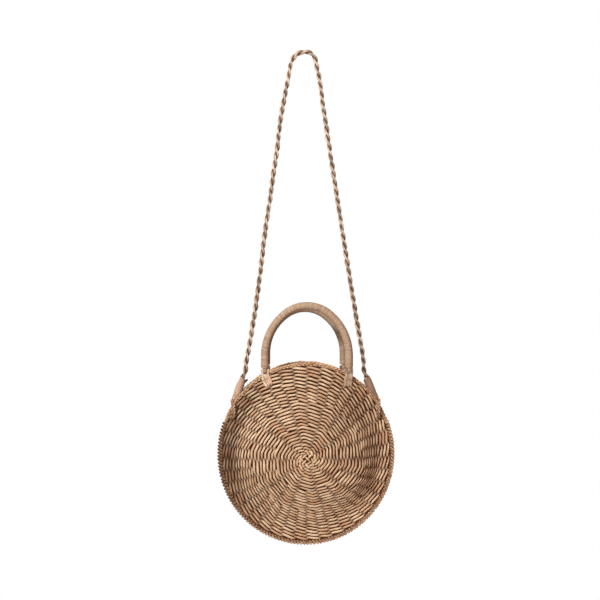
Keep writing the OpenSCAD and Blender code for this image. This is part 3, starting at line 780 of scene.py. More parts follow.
def weavers(side):
    lines, wides, swells, middles, ways, painted_lit = [], [], [], [], [], []
    for f in row_places:
        count = MAIN_SPOKES * spoke_times(f)
        points = count * STITCH_POINTS[spoke_times(f)]
        t = np.arange(points) / points * turn
        stagger = math.pi / 2 * (count > MAIN_SPOKES) + chance.normal() * STAGGER_DRIFT
        drift = wander(t, ROW_DRIFT * min(1, f * 2))
        phase_drift = wander(t, PHASE_DRIFT)
        along = f * corners(t, f)
        row_u, length = look_up(side, t, along + drift / tables[side][1].mean())
        for ply in (0, 1):
            phase = count * t / 2 + stagger + phase_drift + math.pi * ply
            u, _ = look_up(side, t, along + (drift - PLY_ACROSS * np.sin(phase)) / length)
            lines.append(layer(side, u, t, PLY_OUT * level_topped(phase)))
            middles.append(wall_mid(side, row_u, t))
            ways.append(outwards(side, row_u, t))
            # Painted shade where the wall turns away, in the given patches and near the border.
            painted_lit.append(painted_lit_share(side, row_u, t))
            wides.append(wall_mid(side, u + STEP_OUT, t) - wall_mid(side, u - STEP_OUT, t))
            stitch = chance.normal(1, STITCH_DIFFERS, count + 1)
            stitch[-1] = stitch[0]
            size = np.interp(t / turn * count, np.arange(count + 1), stitch)
            size = np.clip(size, STITCH_LEAST, STITCH_MOST)
            swells.append(size * (STITCH_SIZE + TOP_SIZE * np.cos(phase)))
    return lines, wides, swells, (middles, ways, PROUD_LOW, PROUD_HIGH, painted_lit)


for side, word in SIDES:
    lines, wides, swells, proud = weavers(side)
    piece = lay(word + "_weave", lines, PLY_THICK, PLY_WIDE, wides, swells, loop=True, proud=proud)
    dress(piece, weave_straw, "bag", word + "_panel")

# %% [markdown]
# ## Spokes and the crossed centre
# The spokes are what the weavers go round. Ten start in the middle, ten more are let in where the gaps get
# wide, and twenty more further out. In the middle the first straws cross over and under each other like a
# small basket bottom, which leaves a few dark holes. Between two rows one looks into shade. A thin dark mat
# behind the rows is painted shade: it stands for that shade, and keeps daylight out of the gaps. It starts
# as a flat circle whose edge is extruded inwards ring by ring. Then each point moves to its place on the
# disc, and the mat is made thick.

# %% Rounds that follow the disc
BED_OFF, BED_THICK, BED_SEGMENTS, BED_UNDER = -1.0 * MM, 0.5 * MM, 120, 0.8
BED_SHARES = (1, 0.94, 0.88, 0.82, 0.76, 0.7, 0.64, 0.58, 0.5, 0.35, 0.15)


def thicken(bm, thick):
    bmesh.ops.recalc_face_normals(bm, faces=bm.faces)
    bmesh.ops.solidify(bm, geom=list(bm.faces), thickness=thick)
    bmesh.ops.recalc_face_normals(bm, faces=bm.faces)


def dish(side, edge, off, segments, thick, shares):
    """A round cloth or mat that follows the disc, and its area before it is made thick."""
    bm = bmesh.new()
    bmesh.ops.create_circle(bm, segments=segments, radius=1)
    rim = list(bm.edges)
    for big, small in zip(shares, shares[1:]):
        made = bmesh.ops.extrude_edge_only(bm, edges=rim)["geom"]
        rim = [g for g in made if isinstance(g, bmesh.types.BMEdge)]
        points = [g for g in made if isinstance(g, bmesh.types.BMVert)]
        bmesh.ops.scale(bm, vec=(small / big, small / big, 1), verts=points)
    bmesh.ops.contextual_create(bm, geom=rim)
    flat = np.array([v.co[:2] for v in bm.verts])
    t, share = np.arctan2(flat[:, 0], flat[:, 1]), np.hypot(*flat.T)
    for v, p in zip(bm.verts, layer(side, share * edge(t), t, off(share, t))):
        v.co = p
    area = sum(f.calc_area() for f in bm.faces)
    thicken(bm, thick)
    return bm, area


def finished(bm, name):
    mesh = bpy.data.meshes.new(name)
    bm.to_mesh(mesh)
    bm.free()
    mesh.shade_smooth()
    return add_object(name, mesh)


def bed_edge(t):
    return (border_r(t) - RIM_D * BED_UNDER) / border_r(t)


def bed_off(share, t):
    """The mat lies equally far behind the straw everywhere."""
    return BED_OFF + 0 * share


for side, word in SIDES:
    mat, area = dish(side, bed_edge, bed_off, BED_SEGMENTS, BED_THICK, BED_SHARES)
    dress(finished(mat, word + "_shade_mat"), shade_mat_straw, "bag")
    print(f"{word}_shade_mat: {area:.4f} m2")

# %% Spokes and centre
SPOKE_R, SPOKE_OFF, SPOKE_POINTS, SPOKE_FROM, SPOKE_TO = 1.0 * MM, -0.7 * MM, 40, 0.09, 0.995
SPOKE_LOW, SPOKE_HIGH = 0.4 * MM, 1.6 * MM
CROSS_GAP, CROSS_REACH, CROSS_ANGLE, CROSS_SWELL = 6.2 * MM, 15 * MM, math.radians(38), 1.55
CROSS_OVER, CROSS_DIVES, CROSS_TURNS, CROSS_STRAYS = 1.3 * MM, 1.2 * MM, 0.1, 0.5 * MM
CROSS_STRAWS, CROSS_POINTS, DIVE_FROM, LEVEL_FROM = 3, 29, 0.6, 0.9


def spokes(side):
    made = []
    for k in range(4 * MAIN_SPOKES):
        start = SPOKE_FROM if k % 4 == 0 else SECOND_FROM if k % 2 == 0 else THIRD_FROM
        f = np.linspace(start, SPOKE_TO, SPOKE_POINTS)
        t = np.full(SPOKE_POINTS, turn * (k + 0.5) / (4 * MAIN_SPOKES))
        u, _ = look_up(side, t, f)
        made.append(layer(side, u, t, 0 * u + SPOKE_OFF))
    return made


def crossing(side):
    """Three thick straws each way over and under each other. Their ends dive into the rows."""
    made = []
    q = np.linspace(-CROSS_REACH, CROSS_REACH, CROSS_POINTS)
    far = np.abs(q) / CROSS_REACH
    for way in (0, 1):
        for j in range(CROSS_STRAWS):
            a = CROSS_ANGLE + way * math.pi / 2 + CROSS_TURNS * chance.normal()
            c = (j - 1) * CROSS_GAP + CROSS_STRAYS * chance.normal()
            x, z = q * math.cos(a) - c * math.sin(a), q * math.sin(a) + c * math.cos(a)
            over = np.cos(math.pi * (q / CROSS_GAP + j + way)) * CROSS_OVER
            off = over * (1 - smooth(DIVE_FROM, LEVEL_FROM, far)) - CROSS_DIVES * smooth(DIVE_FROM, 1, far)
            made.append(layer_at(side, x, z + WEAVE_Z, off))
    return made


for side, word in SIDES:
    straight, crossed = spokes(side), crossing(side)
    lines = straight + crossed
    sizes = [1.0] * len(straight) + [CROSS_SWELL] * len(crossed)
    flat = [layer_at(side, line[:, 0], line[:, 2], 0.0) for line in lines]
    facing = [np.broadcast_to((0, side, 0), line.shape) for line in lines]
    piece = lay(word + "_spokes", lines, SPOKE_R, swell=sizes, proud=(flat, facing, SPOKE_LOW, SPOKE_HIGH))
    dress(piece, weave_straw, "bag")

# %% [markdown]
# ## Borders and lacing
# The edge of each disc is finished with a three-strand braid. Below the mouth one cord is wound
# round both braids, from one end of the mouth down and up to the other, and pulls them together.
# Its turns are the beads that the outline of the bag shows. Light is painted on their outer side, but at the
# left, where little light gets to, the outer side is painted dark, as shade, and the discs' painted shade
# near the border dims them too. A row of beads would look alike from afar, but close by it shows that
# nothing holds the discs together.

# %% Borders
BRAID_STRANDS, BRAID_STRAND, BRAID_PERIODS, POINTS_A_PERIOD = 3, 1.3 * MM, 50, 12
BRAID_WAVE, BRAID_DEEP, BRAID_UNEVEN, BRAID_KNOTS = 1.6 * MM, 0.95 * MM, 0.28 * MM, 150
BRAID_LOW, BRAID_HIGH, BORDER_SHARE, BRAID_BASE, BRAID_EVENED = 0.5 * MM, 2.4 * MM, 0.97, 2.1, 3
BRAID_POINTS = BRAID_PERIODS * POINTS_A_PERIOD
braid_t = np.arange(BRAID_POINTS) / BRAID_POINTS * turn


def braid(side):
    made = []
    for k in range(BRAID_STRANDS):
        a = BRAID_PERIODS * braid_t + turn * k / BRAID_STRANDS
        knots = chance.normal(0, BRAID_UNEVEN, BRAID_KNOTS)
        strays = np.interp(braid_t / turn * BRAID_KNOTS, np.arange(BRAID_KNOTS + 1), np.r_[knots, knots[:1]])
        wave = BRAID_WAVE * np.sin(a) + strays
        made.append(border_mid(side, braid_t) + wave[:, None] * round_out(braid_t)
                    + (BRAID_DEEP * np.sin(2 * a))[:, None] * np.array([0, side, 0]))
    return made


for side, word in SIDES:
    strands = braid(side)
    middle = border_mid(side, braid_t)
    # The braid gets a milder copy of the discs' painted shade.
    painted_lit = (painted_lit_share(side, BORDER_SHARE, braid_t) + BRAID_BASE) / BRAID_EVENED
    piece = lay(word + "_border", strands, BRAID_STRAND, loop=True,
                proud=([middle] * BRAID_STRANDS, None, BRAID_LOW, BRAID_HIGH, [painted_lit] * BRAID_STRANDS))
    dress(piece, braid_straw, "bag", word + "_rim")

# %% Lacing
LACE_START, LACE_TURNS, LACE_POINTS = math.radians(66), 104, 12
LACE_THICK, LACE_WIDE, LACE_FLAT = 0.6 * MM, 0.85 * MM, 1.7
LACE_R, LACE_SLANT, LACE_LOOSE = RIM_D / 2 + 0.1 * MM + LACE_THICK / 2, 1.5 * MM, 0.35 * MM
LACE_STRAYS, LACE_ENDS, LACE_PAINTED_LIT = 0.9 * MM, 20, 0.06
LACE_LOW, LACE_HIGH = -2.8 * MM, 1.8 * MM
OUTSIDE_LIT, OUTSIDE_DARK, DARK_SPREAD = 0.75, 1.55, 1.3


def lacing():
    k = np.linspace(0, 1, LACE_TURNS * LACE_POINTS + 1)
    t = LACE_START + (turn - 2 * LACE_START) * k
    knots = chance.random(2 * LACE_TURNS + 2)
    loose = np.interp(2 * LACE_TURNS * k, np.arange(len(knots)), knots)
    a = turn * LACE_TURNS * k
    shift = (LACE_SLANT * np.sin(a) + LACE_STRAYS * (loose - 0.5)) / BAG_R
    t = t + shift * np.clip(LACE_ENDS * np.minimum(k, 1 - k), 0, 1)
    seam = (border_mid(FRONT, t) + border_mid(BACK, t)) / 2
    line = seam + ((LACE_R + LACE_LOOSE * loose) * np.sin(a))[:, None] * round_out(t)
    line[:, 1] += RIM_PAIR * np.clip(LACE_FLAT * np.cos(a), -1, 1) + LACE_R * np.cos(a)
    along = np.stack([np.cos(t), 0 * t, -np.sin(t)], 1)
    # Painted light on the beads' outer side, turned into painted shade at the left.
    lit = (OUTSIDE_LIT - OUTSIDE_DARK * near(t, LEFT_AT, DARK_SPREAD))[:, None] * round_out(t)
    return line, along, seam, lit, painted_lit_share(FRONT, BORDER_SHARE, t) + LACE_PAINTED_LIT


line, wide, seam, lit, painted_lit = lacing()
lace = lay("seam_lace", [line], LACE_THICK, LACE_WIDE, [wide],
           proud=([seam], [lit], LACE_LOW, LACE_HIGH, [painted_lit]))
dress(lace, lacing_straw, "bag", "seam_lacing")

# %% [markdown]
# ## Handles
# A handle is a bent cane hoop, wound from foot to foot with one flat straw. The hoop's line is the CAD one:
# a straight leg, a slow side curve and a tighter top. Stripes on a smooth tube would do from afar, but its
# outline would stay smooth, so the straw is a real helix on that line. It lies closer to the cane near its
# two ends, just above the feet. Shade is painted into its colour towards the lower right, away from the
# light, and the back handle's straw is painted darker as a whole. Below it three straws go down, round the
# cane's eye and up again.

# %% The hoop's line
HANDLE_HALF, BACK_INSET, HANDLE_PEAK, TOP_SHARE = 0.0625, 0.004, 0.0115, 0.832
HANDLE_LEG, HANDLE_D, WRAP_START, PIVOT_LIFT, PIVOT_OUT = 0.0215, 0.0116, 0.0062, 0.0046, 0.0044
LEG_POINTS, BEND_POINTS, TOP_POINTS = 8, 24, 40


def half_of(side):
    return HANDLE_HALF - (BACK_INSET if side == BACK else 0)


def foot_t(side):
    a = half_of(side)
    return math.asin(a / border_r(math.asin(a / (BAG_R + MOUTH_RISE))))


def pivot(side):
    """y and z of the line that the handle turns on."""
    t = foot_t(side)
    return (border_mid(side, np.array(t))[1] + side * PIVOT_OUT,
            WEAVE_Z + border_r(t) * math.cos(t) + PIVOT_LIFT)


def hoop(side, step, start=WRAP_START):
    """The middle of the tube, from the left foot over the top to the right foot."""
    a = half_of(side)
    lower = 0 if side == FRONT else BACK_INSET + pivot(BACK)[1] - pivot(FRONT)[1]
    rise = HANDLE_HALF + HANDLE_PEAK - lower
    r = TOP_SHARE * a
    b = rise - r
    side_r = (a * a + b * b - r * r) / (2 * (a - r))
    sweep = math.atan2(b, side_r - a)
    leg = [(a, h) for h in np.linspace(start, HANDLE_LEG, LEG_POINTS)[:-1]]
    bend = [(a - side_r + side_r * math.cos(w), HANDLE_LEG + side_r * math.sin(w))
            for w in np.linspace(0, sweep, BEND_POINTS)[:-1]]
    top = [(r * math.cos(w), HANDLE_LEG + b + r * math.sin(w))
           for w in np.linspace(sweep, math.pi / 2, TOP_POINTS)]
    right = np.array(leg + bend + top)
    flat = np.vstack([right * (-1, 1), right[::-1][1:]])
    y, z = pivot(side)
    s = arc(flat)
    at = np.linspace(0, s[-1], int(s[-1] / step) + 1)
    x, h = (np.interp(at, s, flat[:, i]) for i in (0, 1))
    return np.stack([x, np.full(len(at), y), z + h], 1)


print("handle tops", [round(float(hoop(s, MM)[:, 2].max()), 4) for s in (FRONT, BACK)])

# %% Wound straw
WIND_THICK, WIND_WIDE, WIND_PITCH, WIND_END = 0.62 * MM, 0.7 * MM, 2.25 * MM, 4.1 * MM
WIND_LOW, WIND_HIGH = HANDLE_D / 2 - 1.3 * WIND_THICK, HANDLE_D / 2 - 0.15 * MM
SLIM, SLIM_OVER, SHADE_WAY, SHADE, BACK_PAINTED_LIT = 0.5 * MM, 2.2 * MM, (0.9, 0, -0.43), 0.5, 0.72
WIND_POINTS, FOOT_POINTS, FOOT_TURN_POINTS = 12, 5, 13
FOOT_R, FOOT_STRAW, FOOT_APART, FOOT_PAINTED_LIT = 3.85 * MM, 0.72 * MM, 1.5 * MM, 0.85
FOOT_TOP, FOOT_LOW, FOOT_HIGH = WRAP_START + 2 * MM, 0.5 * MM, 1.0 * MM


def winding(side):
    line = hoop(side, WIND_PITCH / WIND_POINTS, WIND_END)
    along = direction(line)
    s = arc(line)
    slim = SLIM * (1 - smooth(0, SLIM_OVER, np.minimum(s, s[-1] - s)))[:, None]
    level = np.array([0, side, 0.0])
    out = unit(np.cross(along, np.broadcast_to(level, line.shape)))
    a = (turn * s / WIND_PITCH)[:, None]
    off = np.cos(a) * out + np.sin(a) * level
    # Painted shade: darker towards the lower right, away from the light, and darker over all on the back
    # handle.
    painted_lit = (1 - SHADE * smooth(0, 1, off @ np.array(SHADE_WAY))) * (1 if side == FRONT else BACK_PAINTED_LIT)
    return line + (HANDLE_D / 2 - WIND_THICK - slim) * off, along, line - slim * off, painted_lit


def foot_straws(side, hand):
    """Three straws that go down from the winding, round the cane's eye and up again."""
    y, z = pivot(side)
    w = np.linspace(0, math.pi, FOOT_TURN_POINTS)
    up = np.linspace(FOOT_TOP, FOOT_LOW, FOOT_POINTS)
    ys = np.r_[np.full(len(up), FOOT_R), FOOT_R * np.cos(w), np.full(len(up), -FOOT_R)]
    zs = np.r_[up, -FOOT_R * np.sin(w), up[::-1]]
    return [np.stack([np.full(len(ys), hand * half_of(side) + q * FOOT_APART), y + side * ys, z + zs], 1)
            for q in (-1, 0, 1)]


for side, word in SIDES:
    body = word + "_handle"
    line, wide, middle, painted_lit = winding(side)
    piece = lay(body + "_winding", [line], WIND_THICK, WIND_WIDE, [wide],
                proud=([middle], None, WIND_LOW, WIND_HIGH, [painted_lit]))
    dress(piece, wrap_straw, body, body + "_wrap")
    loops = foot_straws(side, LEFT) + foot_straws(side, RIGHT)
    # The feet straws are painted a little darker all over, as shade.
    feet = lay(body + "_feet", loops, FOOT_STRAW,
               proud=(loops, None, 0, FOOT_HIGH, [np.full(len(v), FOOT_PAINTED_LIT) for v in loops]))
    dress(feet, tie_straw, body)

# %% [markdown]
# ## Ties
# Each foot is held by a flat bundle of straws. The outer ones loop over a bar that goes through
# the cane's eye: each is one line, up the outside, round the bar and down the inside. The middle
# ones start below the bar. All of them lie side by side over the border, run down the disc and go
# into the weave. Two short straws cross behind them, and each front tie has one loose straw more.
# One bent plate would be simpler, but the dark lines between the straws make it look tied.

# %% Places on a tie
TIE_LEN, TIE_T, PIVOT_D, BUNDLE_TOP = 0.019, 0.0026, 0.0032, 0.0070
BUNDLE_OFF, BORDER_IN, CLOTH_GAP = RIM_D / 2 + 0.3 * MM + TIE_T / 2, RIM_D + 0.3 * MM, 0.4 * MM
LEANS = {(FRONT, LEFT): 24, (FRONT, RIGHT): 7, (BACK, LEFT): 12, (BACK, RIGHT): 12}
LEAN_OVER, RIM_OVER, WALL_OVER = 2 * MM, 5 * MM, 3 * MM


def on_bundle(side, hand, down, across, lift):
    """A place on the bundle: how far down from the bar, how far across, and off its middle."""
    angle = math.radians(LEANS[side, hand]) * smooth(BUNDLE_TOP - LEAN_OVER, BUNDLE_TOP + LEAN_OVER, down)
    y, z = pivot(side)
    below = np.maximum(0, down - BUNDLE_TOP)
    x = hand * half_of(side) - hand * below * np.sin(angle) + across * np.cos(angle)
    height = z - np.minimum(down, BUNDLE_TOP) - below * np.cos(angle) - hand * across * np.sin(angle)
    on_rim = border_mid(side, np.array(foot_t(side)))[1] + side * BUNDLE_OFF
    wall_height = np.minimum(height, z - BUNDLE_TOP - LEAN_OVER)
    on_wall = layer_at(side, x, wall_height, WALL / 2 + CLOTH_GAP + TIE_T / 2)[:, 1]
    over_rim = smooth(BUNDLE_TOP - RIM_OVER, BUNDLE_TOP, down)
    border_end = BUNDLE_TOP + BORDER_IN
    over_wall = smooth(border_end - WALL_OVER, border_end + WALL_OVER, down)
    depth = (y * (1 - over_rim) + on_rim * over_rim) * (1 - over_wall) + on_wall * over_wall
    return np.stack([x, depth + side * lift, height], 1)


print("bars at", [[round(float(v), 4) for v in pivot(side)] for side, _ in SIDES])

# %% Straws of a tie
TIE_STRAW, TIE_WIDE, STRAW_OVER = 0.5 * MM, 0.42 * MM, 0.65 * MM
TIE_ACROSS = np.array([-4.85, -3.6, -1.3, 0.6, 2.1, 3.6, 4.9]) * MM
LOOPED_FROM, BAR_R = 3 * MM, PIVOT_D / 2 + TIE_STRAW
TIE_END, TIE_DIVES, DIVE_OVER, TIE_STRAYS = BUNDLE_TOP + TIE_LEN, 4.5 * MM, 3 * MM, 0.1 * MM
SHORTEST, LONGEST = -1.5, 2.5
MIDDLE_START, MIDDLE_LIFT, LOOP_START, INNER_REACH = 1.4 * MM, 0.6 * MM, 0.2 * MM, 5 * MM
STRAW_POINTS, TURN_OVER_POINTS, INNER_POINTS, LOOSE_POINTS, BAR_POINTS = 16, 9, 9, 10, 7
LOOSE_ACROSS, LOOSE_WAVE, LOOSE_LIFT, LOOSE_DIVES = -6.6 * MM, 0.8 * MM, 0.5 * MM, 2.5 * MM
LOOSE_TOP, LOOSE_END, WAVES_A_METRE = BUNDLE_TOP + 3 * MM, TIE_END - 2 * MM, 90
CROSSWAYS = ((4.6, 1.0, 5.45), (4.9, 2.2, 5.3), (5.7, 0, 0))


def over_bar(side, hand, q, outer):
    """The straw's outer run, its turn over the bar and its run down the inside."""
    w = np.linspace(0, math.pi, TURN_OVER_POINTS)[1:-1]
    y, z = pivot(side)
    x = np.full(len(w), hand * half_of(side) + q)
    cap = np.stack([x, y + side * BAR_R * np.cos(w), z + BAR_R * np.sin(w)], 1)
    down = np.linspace(LOOP_START, BUNDLE_TOP + INNER_REACH, INNER_POINTS)
    lift = -BAR_R + (BAR_R - STRAW_OVER) * smooth(0, BUNDLE_TOP - MM, down)
    return np.vstack([outer, cap, on_bundle(side, hand, down, q, lift)])


def tie_straws(side, hand):
    """The bundle's straws, the loose one in front, and last the two cross straws and the bar."""
    made = []
    for q in TIE_ACROSS:
        looped = abs(q) > LOOPED_FROM
        last = TIE_END + chance.uniform(SHORTEST, LONGEST) * MM
        down = np.linspace(last, LOOP_START if looped else BUNDLE_TOP - MIDDLE_START, STRAW_POINTS)
        under_bar = smooth(0, BUNDLE_TOP, down)
        lift = (BAR_R if looped else MIDDLE_LIFT) * (1 - under_bar) + STRAW_OVER * under_bar
        lift = lift - TIE_DIVES * smooth(last - DIVE_OVER, last, down)
        outer = on_bundle(side, hand, down, q + TIE_STRAYS * chance.normal(), lift)
        made.append(over_bar(side, hand, q, outer) if looped else outer)
    if side == FRONT:
        down = np.linspace(LOOSE_END, LOOSE_TOP, LOOSE_POINTS)
        dive = np.maximum(smooth(LOOSE_END - DIVE_OVER, LOOSE_END, down),
                          1 - smooth(LOOSE_TOP, LOOSE_TOP + DIVE_OVER, down))
        across = LOOSE_ACROSS + LOOSE_WAVE * np.sin(WAVES_A_METRE * down)
        made.append(on_bundle(side, hand, down, across, LOOSE_LIFT - LOOSE_DIVES * dive))
    y, z = pivot(side)
    for reach, deep, low in CROSSWAYS:
        x = hand * half_of(side) + np.linspace(-reach, reach, BAR_POINTS) * MM
        made.append(np.stack([x, 0 * x + y - side * deep * MM, 0 * x + z - low * MM], 1))
    return made


# %% Ties
CROSS_SIZES, THINNEST, THICKEST = (1, 1, 1.7), 0.92, 1.1
# Painted shade on the ties: darkest at the top, under the handle's foot, lighter further down, and each tie
# painted darker or lighter on its own, the front right one darkest.
TOP_PAINTED_LIT, PAINTED_LIGHTER_BELOW, PAINTED_LIGHTER_OVER = 0.6, 0.4, 7 * MM
TIE_HIGH, TIE_LOW = 0.42 * MM, {FRONT: -1.1 * MM, BACK: -1.6 * MM}
TIE_PAINTED_LIT = {(FRONT, LEFT): 1.2, (FRONT, RIGHT): 0.6, (BACK, LEFT): 0.74, (BACK, RIGHT): 0.74}
for side, word in SIDES:
    for hand, hand_word in HANDS:
        node = f"{word}_{hand_word}_tie"
        lines = tie_straws(side, hand)
        down, rest = lines[:-len(CROSS_SIZES)], lines[-len(CROSS_SIZES):]
        sizes = [chance.uniform(THINNEST, THICKEST) for _ in down] + list(CROSS_SIZES)
        angle = math.radians(LEANS[side, hand])
        wides = [np.broadcast_to((math.cos(angle), 0, -hand * math.sin(angle)), v.shape) for v in down]
        wides += [np.broadcast_to((0, 1, 0), v.shape) for v in rest]
        facing = [np.broadcast_to((0, side, 0), v.shape) for v in lines]
        painted_lighter = [smooth(0, PAINTED_LIGHTER_OVER, pivot(side)[1] - v[:, 2]) for v in lines]
        painted_lit = [np.clip(TIE_PAINTED_LIT[side, hand] * (TOP_PAINTED_LIT + PAINTED_LIGHTER_BELOW * c), 0, 1) for c in painted_lighter]
        piece = lay(node + "_straws", lines, TIE_STRAW, TIE_WIDE, wides, sizes, round_steps=2,
                    proud=(lines, facing, TIE_LOW[side], TIE_HIGH, painted_lit))
        dress(piece, tie_straw, "bag", node)

# %% [markdown]
# ## Lining and pocket
# The lining is plain cotton, cut as two rounds and sewn in below the borders. It is made as the
# mat behind the straw was, and lies further in. A few shallow folds keep it from looking pressed.
# The pocket is a small grid that is bent onto the back lining, slack at its open top edge.

# %% Cotton
THREADS, THREADS_BEND, BLOTCHES, BLOTCH_SHARE, THREAD_SHARE = 190.0, 0.6, 26.0, 0.8, 0.35
COTTON_DARK, COTTON_LIGHT = (190, 170, 140), (224, 208, 182)
COTTON_ROUGH, COTTON_GLOSS, THREAD_DEEP = 0.85, 0.2, 0.15 * MM


def cotton():
    finish = Finish("cotton")
    at = finish.here()
    warp, weft = (
        finish.node("ShaderNodeTexWave", {"bands_direction": way},
                    {"Vector": at, "Scale": THREADS, "Distortion": THREADS_BEND})
        for way in ("X", "Z"))
    cloth = warp * 0.5 + weft * 0.5
    share = cloth * THREAD_SHARE + finish.noise(at, BLOTCHES) * BLOTCH_SHARE
    share = finish.node("ShaderNodeClamp", {}, {"Value": share})
    colour = finish.mix(share, linear(*COTTON_DARK), linear(*COTTON_LIGHT))
    return finish.set(base_color=colour, normal=finish.bump(cloth, THREAD_DEEP),
                      roughness=COTTON_ROUGH, specular_ior_level=COTTON_GLOSS)


cotton_cloth = cotton()
print(cotton_cloth.name, "of", len(cotton_cloth.node_tree.nodes), "nodes")

# %% Lining
LINING_T, LINING_OFF, LINING_SEGMENTS = 0.6 * MM, -WALL / 2 - 1.6 * MM, 90
SEAM_SHARE, HEM_SHARE, HEM_FROM, HEM_FULL = 0.775, 0.95, 0.05, 0.7
FOLD_DEEP, FOLDS, FOLD_TWIST = 0.3 * MM, 11, 3
LINING_SHARES = (1, 0.93, 0.85, 0.77, 0.68, 0.55, 0.4, 0.22, 0.06)


def lining_edge(t):
    return SEAM_SHARE + (HEM_SHARE - SEAM_SHARE) * smooth(HEM_FROM, HEM_FULL, mouth(t))


def shallow_folds(share, t):
    """The folds are deepest between the middle and the hem, and run out at both."""
    folds = FOLD_DEEP * share**2 * np.sin(FOLDS * t + FOLD_TWIST * share) * (1 - share**6)
    return LINING_OFF - LINING_T / 2 + folds


for side, word in SIDES:
    node = "lining_" + word
    cloth, area = dish(side, lining_edge, shallow_folds, LINING_SEGMENTS, LINING_T, LINING_SHARES)
    piece = finished(cloth, node + "_cotton")
    dress(piece, cotton_cloth, "bag", node)
    print(node, "area", round(area, 4))
    word + "_panel"

# %% Pocket
POCKET_W, POCKET_H, POCKET_LOW = 0.104, 0.076, 0.046
POCKET_COLUMNS, POCKET_ROWS, POCKET_SLACK, SLACK_FROM = 26, 19, 2.2 * MM, 0.3
POCKET_OFF = LINING_OFF - LINING_T - CLOTH_GAP - 0.05 * MM - LINING_T / 2
bm = bmesh.new()
bmesh.ops.create_grid(bm, x_segments=POCKET_COLUMNS, y_segments=POCKET_ROWS, size=0.5)
across, up = np.array([v.co[:2] for v in bm.verts]).T
slack = POCKET_SLACK * smooth(SLACK_FROM, 1, up + 0.5) * np.cos(math.pi * across) ** 2
places = layer_at(BACK, across * POCKET_W, WEAVE_Z - POCKET_LOW + (up + 0.5) * POCKET_H, POCKET_OFF - slack)
for v, p in zip(bm.verts, places):
    v.co = p
thicken(bm, LINING_T)
pocket = finished(bm, "pocket_cotton")
dress(pocket, cotton_cloth, "bag", "inner_pocket")
print("pocket slack", round(float(slack.max()), 4), "m at its open edge")

# %% [markdown]
# ## Cane and snap
# The cane's eyes and the two halves of the magnetic snap are hard parts whose CAD shapes are
# right, so they stay and only get a finish: cane with grain along it, and worn brass.

# %% Hard parts
GRAIN, GRAIN_DEEP, CANE_ROUGH = (900, 900, 60), 0.1 * MM, 0.45
CANE_DARK, CANE_LIGHT = (150, 116, 80), (206, 170, 128)
WEAR, WEAR_DEEP, BRASS_ROUGH, WEAR_ROUGH = 160.0, 0.03 * MM, 0.2, 0.3
BRASS_DARK, BRASS_LIGHT = (150, 120, 66), (214, 186, 120)


def cane():
    finish = Finish("cane")
    grain = finish.noise(finish.stretch(finish.here(), GRAIN), 1.0, 3.0)
    colour = finish.mix(grain, linear(*CANE_DARK), linear(*CANE_LIGHT))
    return finish.set(base_color=colour, normal=finish.bump(grain, GRAIN_DEEP), roughness=CANE_ROUGH)


def brass():
    finish = Finish("snap_metal")
    wear = finish.noise(finish.here(), WEAR, 4.0)
    colour = finish.mix(wear, linear(*BRASS_DARK), linear(*BRASS_LIGHT))
    return finish.set(base_color=colour, normal=finish.bump(wear, WEAR_DEEP),
                      roughness=wear * WEAR_ROUGH + BRASS_ROUGH, metallic=1.0)


hard_parts = (("core", cane(), "cane"), ("snap", brass(), "snap_metal"))
for node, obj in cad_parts.items():
    for part, finish, slot in hard_parts:
        if part in node:
            obj.data.materials.clear()
            obj.data.materials.append(finish)
            print(node, "is", slot)

# %% [markdown]
# ## Floor and light
# The picture is a product shot on white. One soft lamp from the upper left gives the light and
# the shade, a second one below throws some light up, as a white table would, and a weak warm one
# at the right keeps that side from going grey. One more lights the back, for the other views. The
# world itself shines only a little, but the camera sees it as plain white. The pale floor lies
# below the picture, where the other views find it.

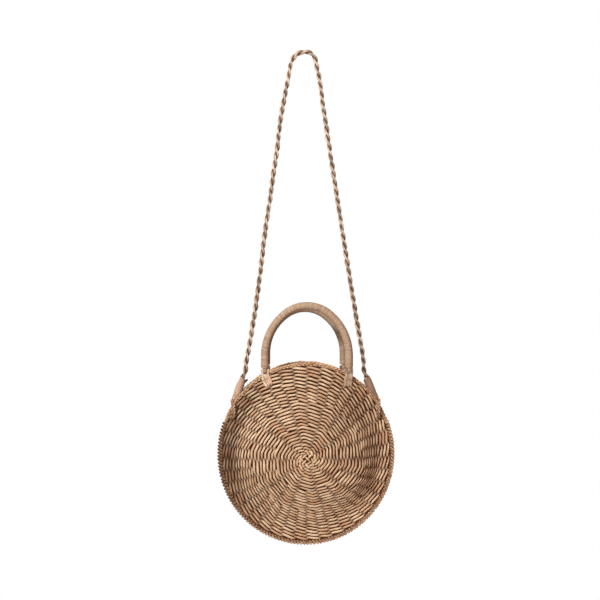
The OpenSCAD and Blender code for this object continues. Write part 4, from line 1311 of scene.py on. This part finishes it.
# %% Floor
FLOOR_R, FLOOR_Z, FLOOR_SEGMENTS, FLOOR_SPECKS, FLOOR_ROUGH = 0.6, -0.96, 96, 40.0, 0.7
FLOOR_DARK, FLOOR_LIGHT = (0.78, 0.77, 0.75, 1), (0.82, 0.81, 0.8, 1)
bm = bmesh.new()
bmesh.ops.create_circle(bm, cap_ends=True, segments=FLOOR_SEGMENTS, radius=FLOOR_R)
bmesh.ops.translate(bm, vec=(0, 0, FLOOR_Z), verts=bm.verts)
pale = Finish("pale_floor")
speckled = pale.mix(pale.noise(pale.here(), FLOOR_SPECKS), FLOOR_DARK, FLOOR_LIGHT)
floor = finished(bm, "floor")
floor.data.materials.append(pale.set(base_color=speckled, roughness=FLOOR_ROUGH))
print("floor", FLOOR_R * 2, "m across at", FLOOR_Z)

# %% The world
WORLD_LIGHT, WORLD_SEEN = 0.15, 1.0
world = bpy.data.worlds.new("studio")
bpy.context.scene.world = world
world.use_nodes = True
net = world.node_tree
glow = net.nodes["Background"]
glow.inputs["Color"].default_value = (1, 1, 1, 1)
seen = net.nodes.new("ShaderNodeMix")
seen.inputs[2].default_value, seen.inputs[3].default_value = WORLD_LIGHT, WORLD_SEEN
ray = net.nodes.new("ShaderNodeLightPath")
net.links.new(ray.outputs["Is Camera Ray"], seen.inputs[0])
net.links.new(seen.outputs[0], glow.inputs["Strength"])

# %% Lamps
AIM, WHITE = (0, 0, -0.6), (1, 1, 1)
# Where each lamp is, how wide, how many watts and in which colour
LAMPS = {
    "key": ((-0.8, -1.35, 0.65), 0.4, 36.5, WHITE),
    "bounce": ((0.0, -1.2, -1.8), 0.6, 12, WHITE),
    "warm": ((1.4, -0.4, -0.6), 0.6, 3.0, (1, 0.45, 0.2)),
    "back": ((-0.9, 1.5, 0.3), 0.6, 20, WHITE),
}
for name, (place, size, power, colour) in LAMPS.items():
    lamp = bpy.data.lights.new(name, "AREA")
    lamp.energy, lamp.size, lamp.color = power, size, colour
    light = bpy.data.objects.new(name, lamp)
    bpy.context.scene.collection.objects.link(light)
    light.location = place
    light.rotation_euler = (Vector(AIM) - Vector(place)).to_track_quat("-Z", "Y").to_euler()
    print(name, power, "W at", place)

# %% [markdown]
# ## The end
# The picture is shown with the Standard view transform.

# %% View transform
bpy.context.scene.view_settings.view_transform = "Standard"
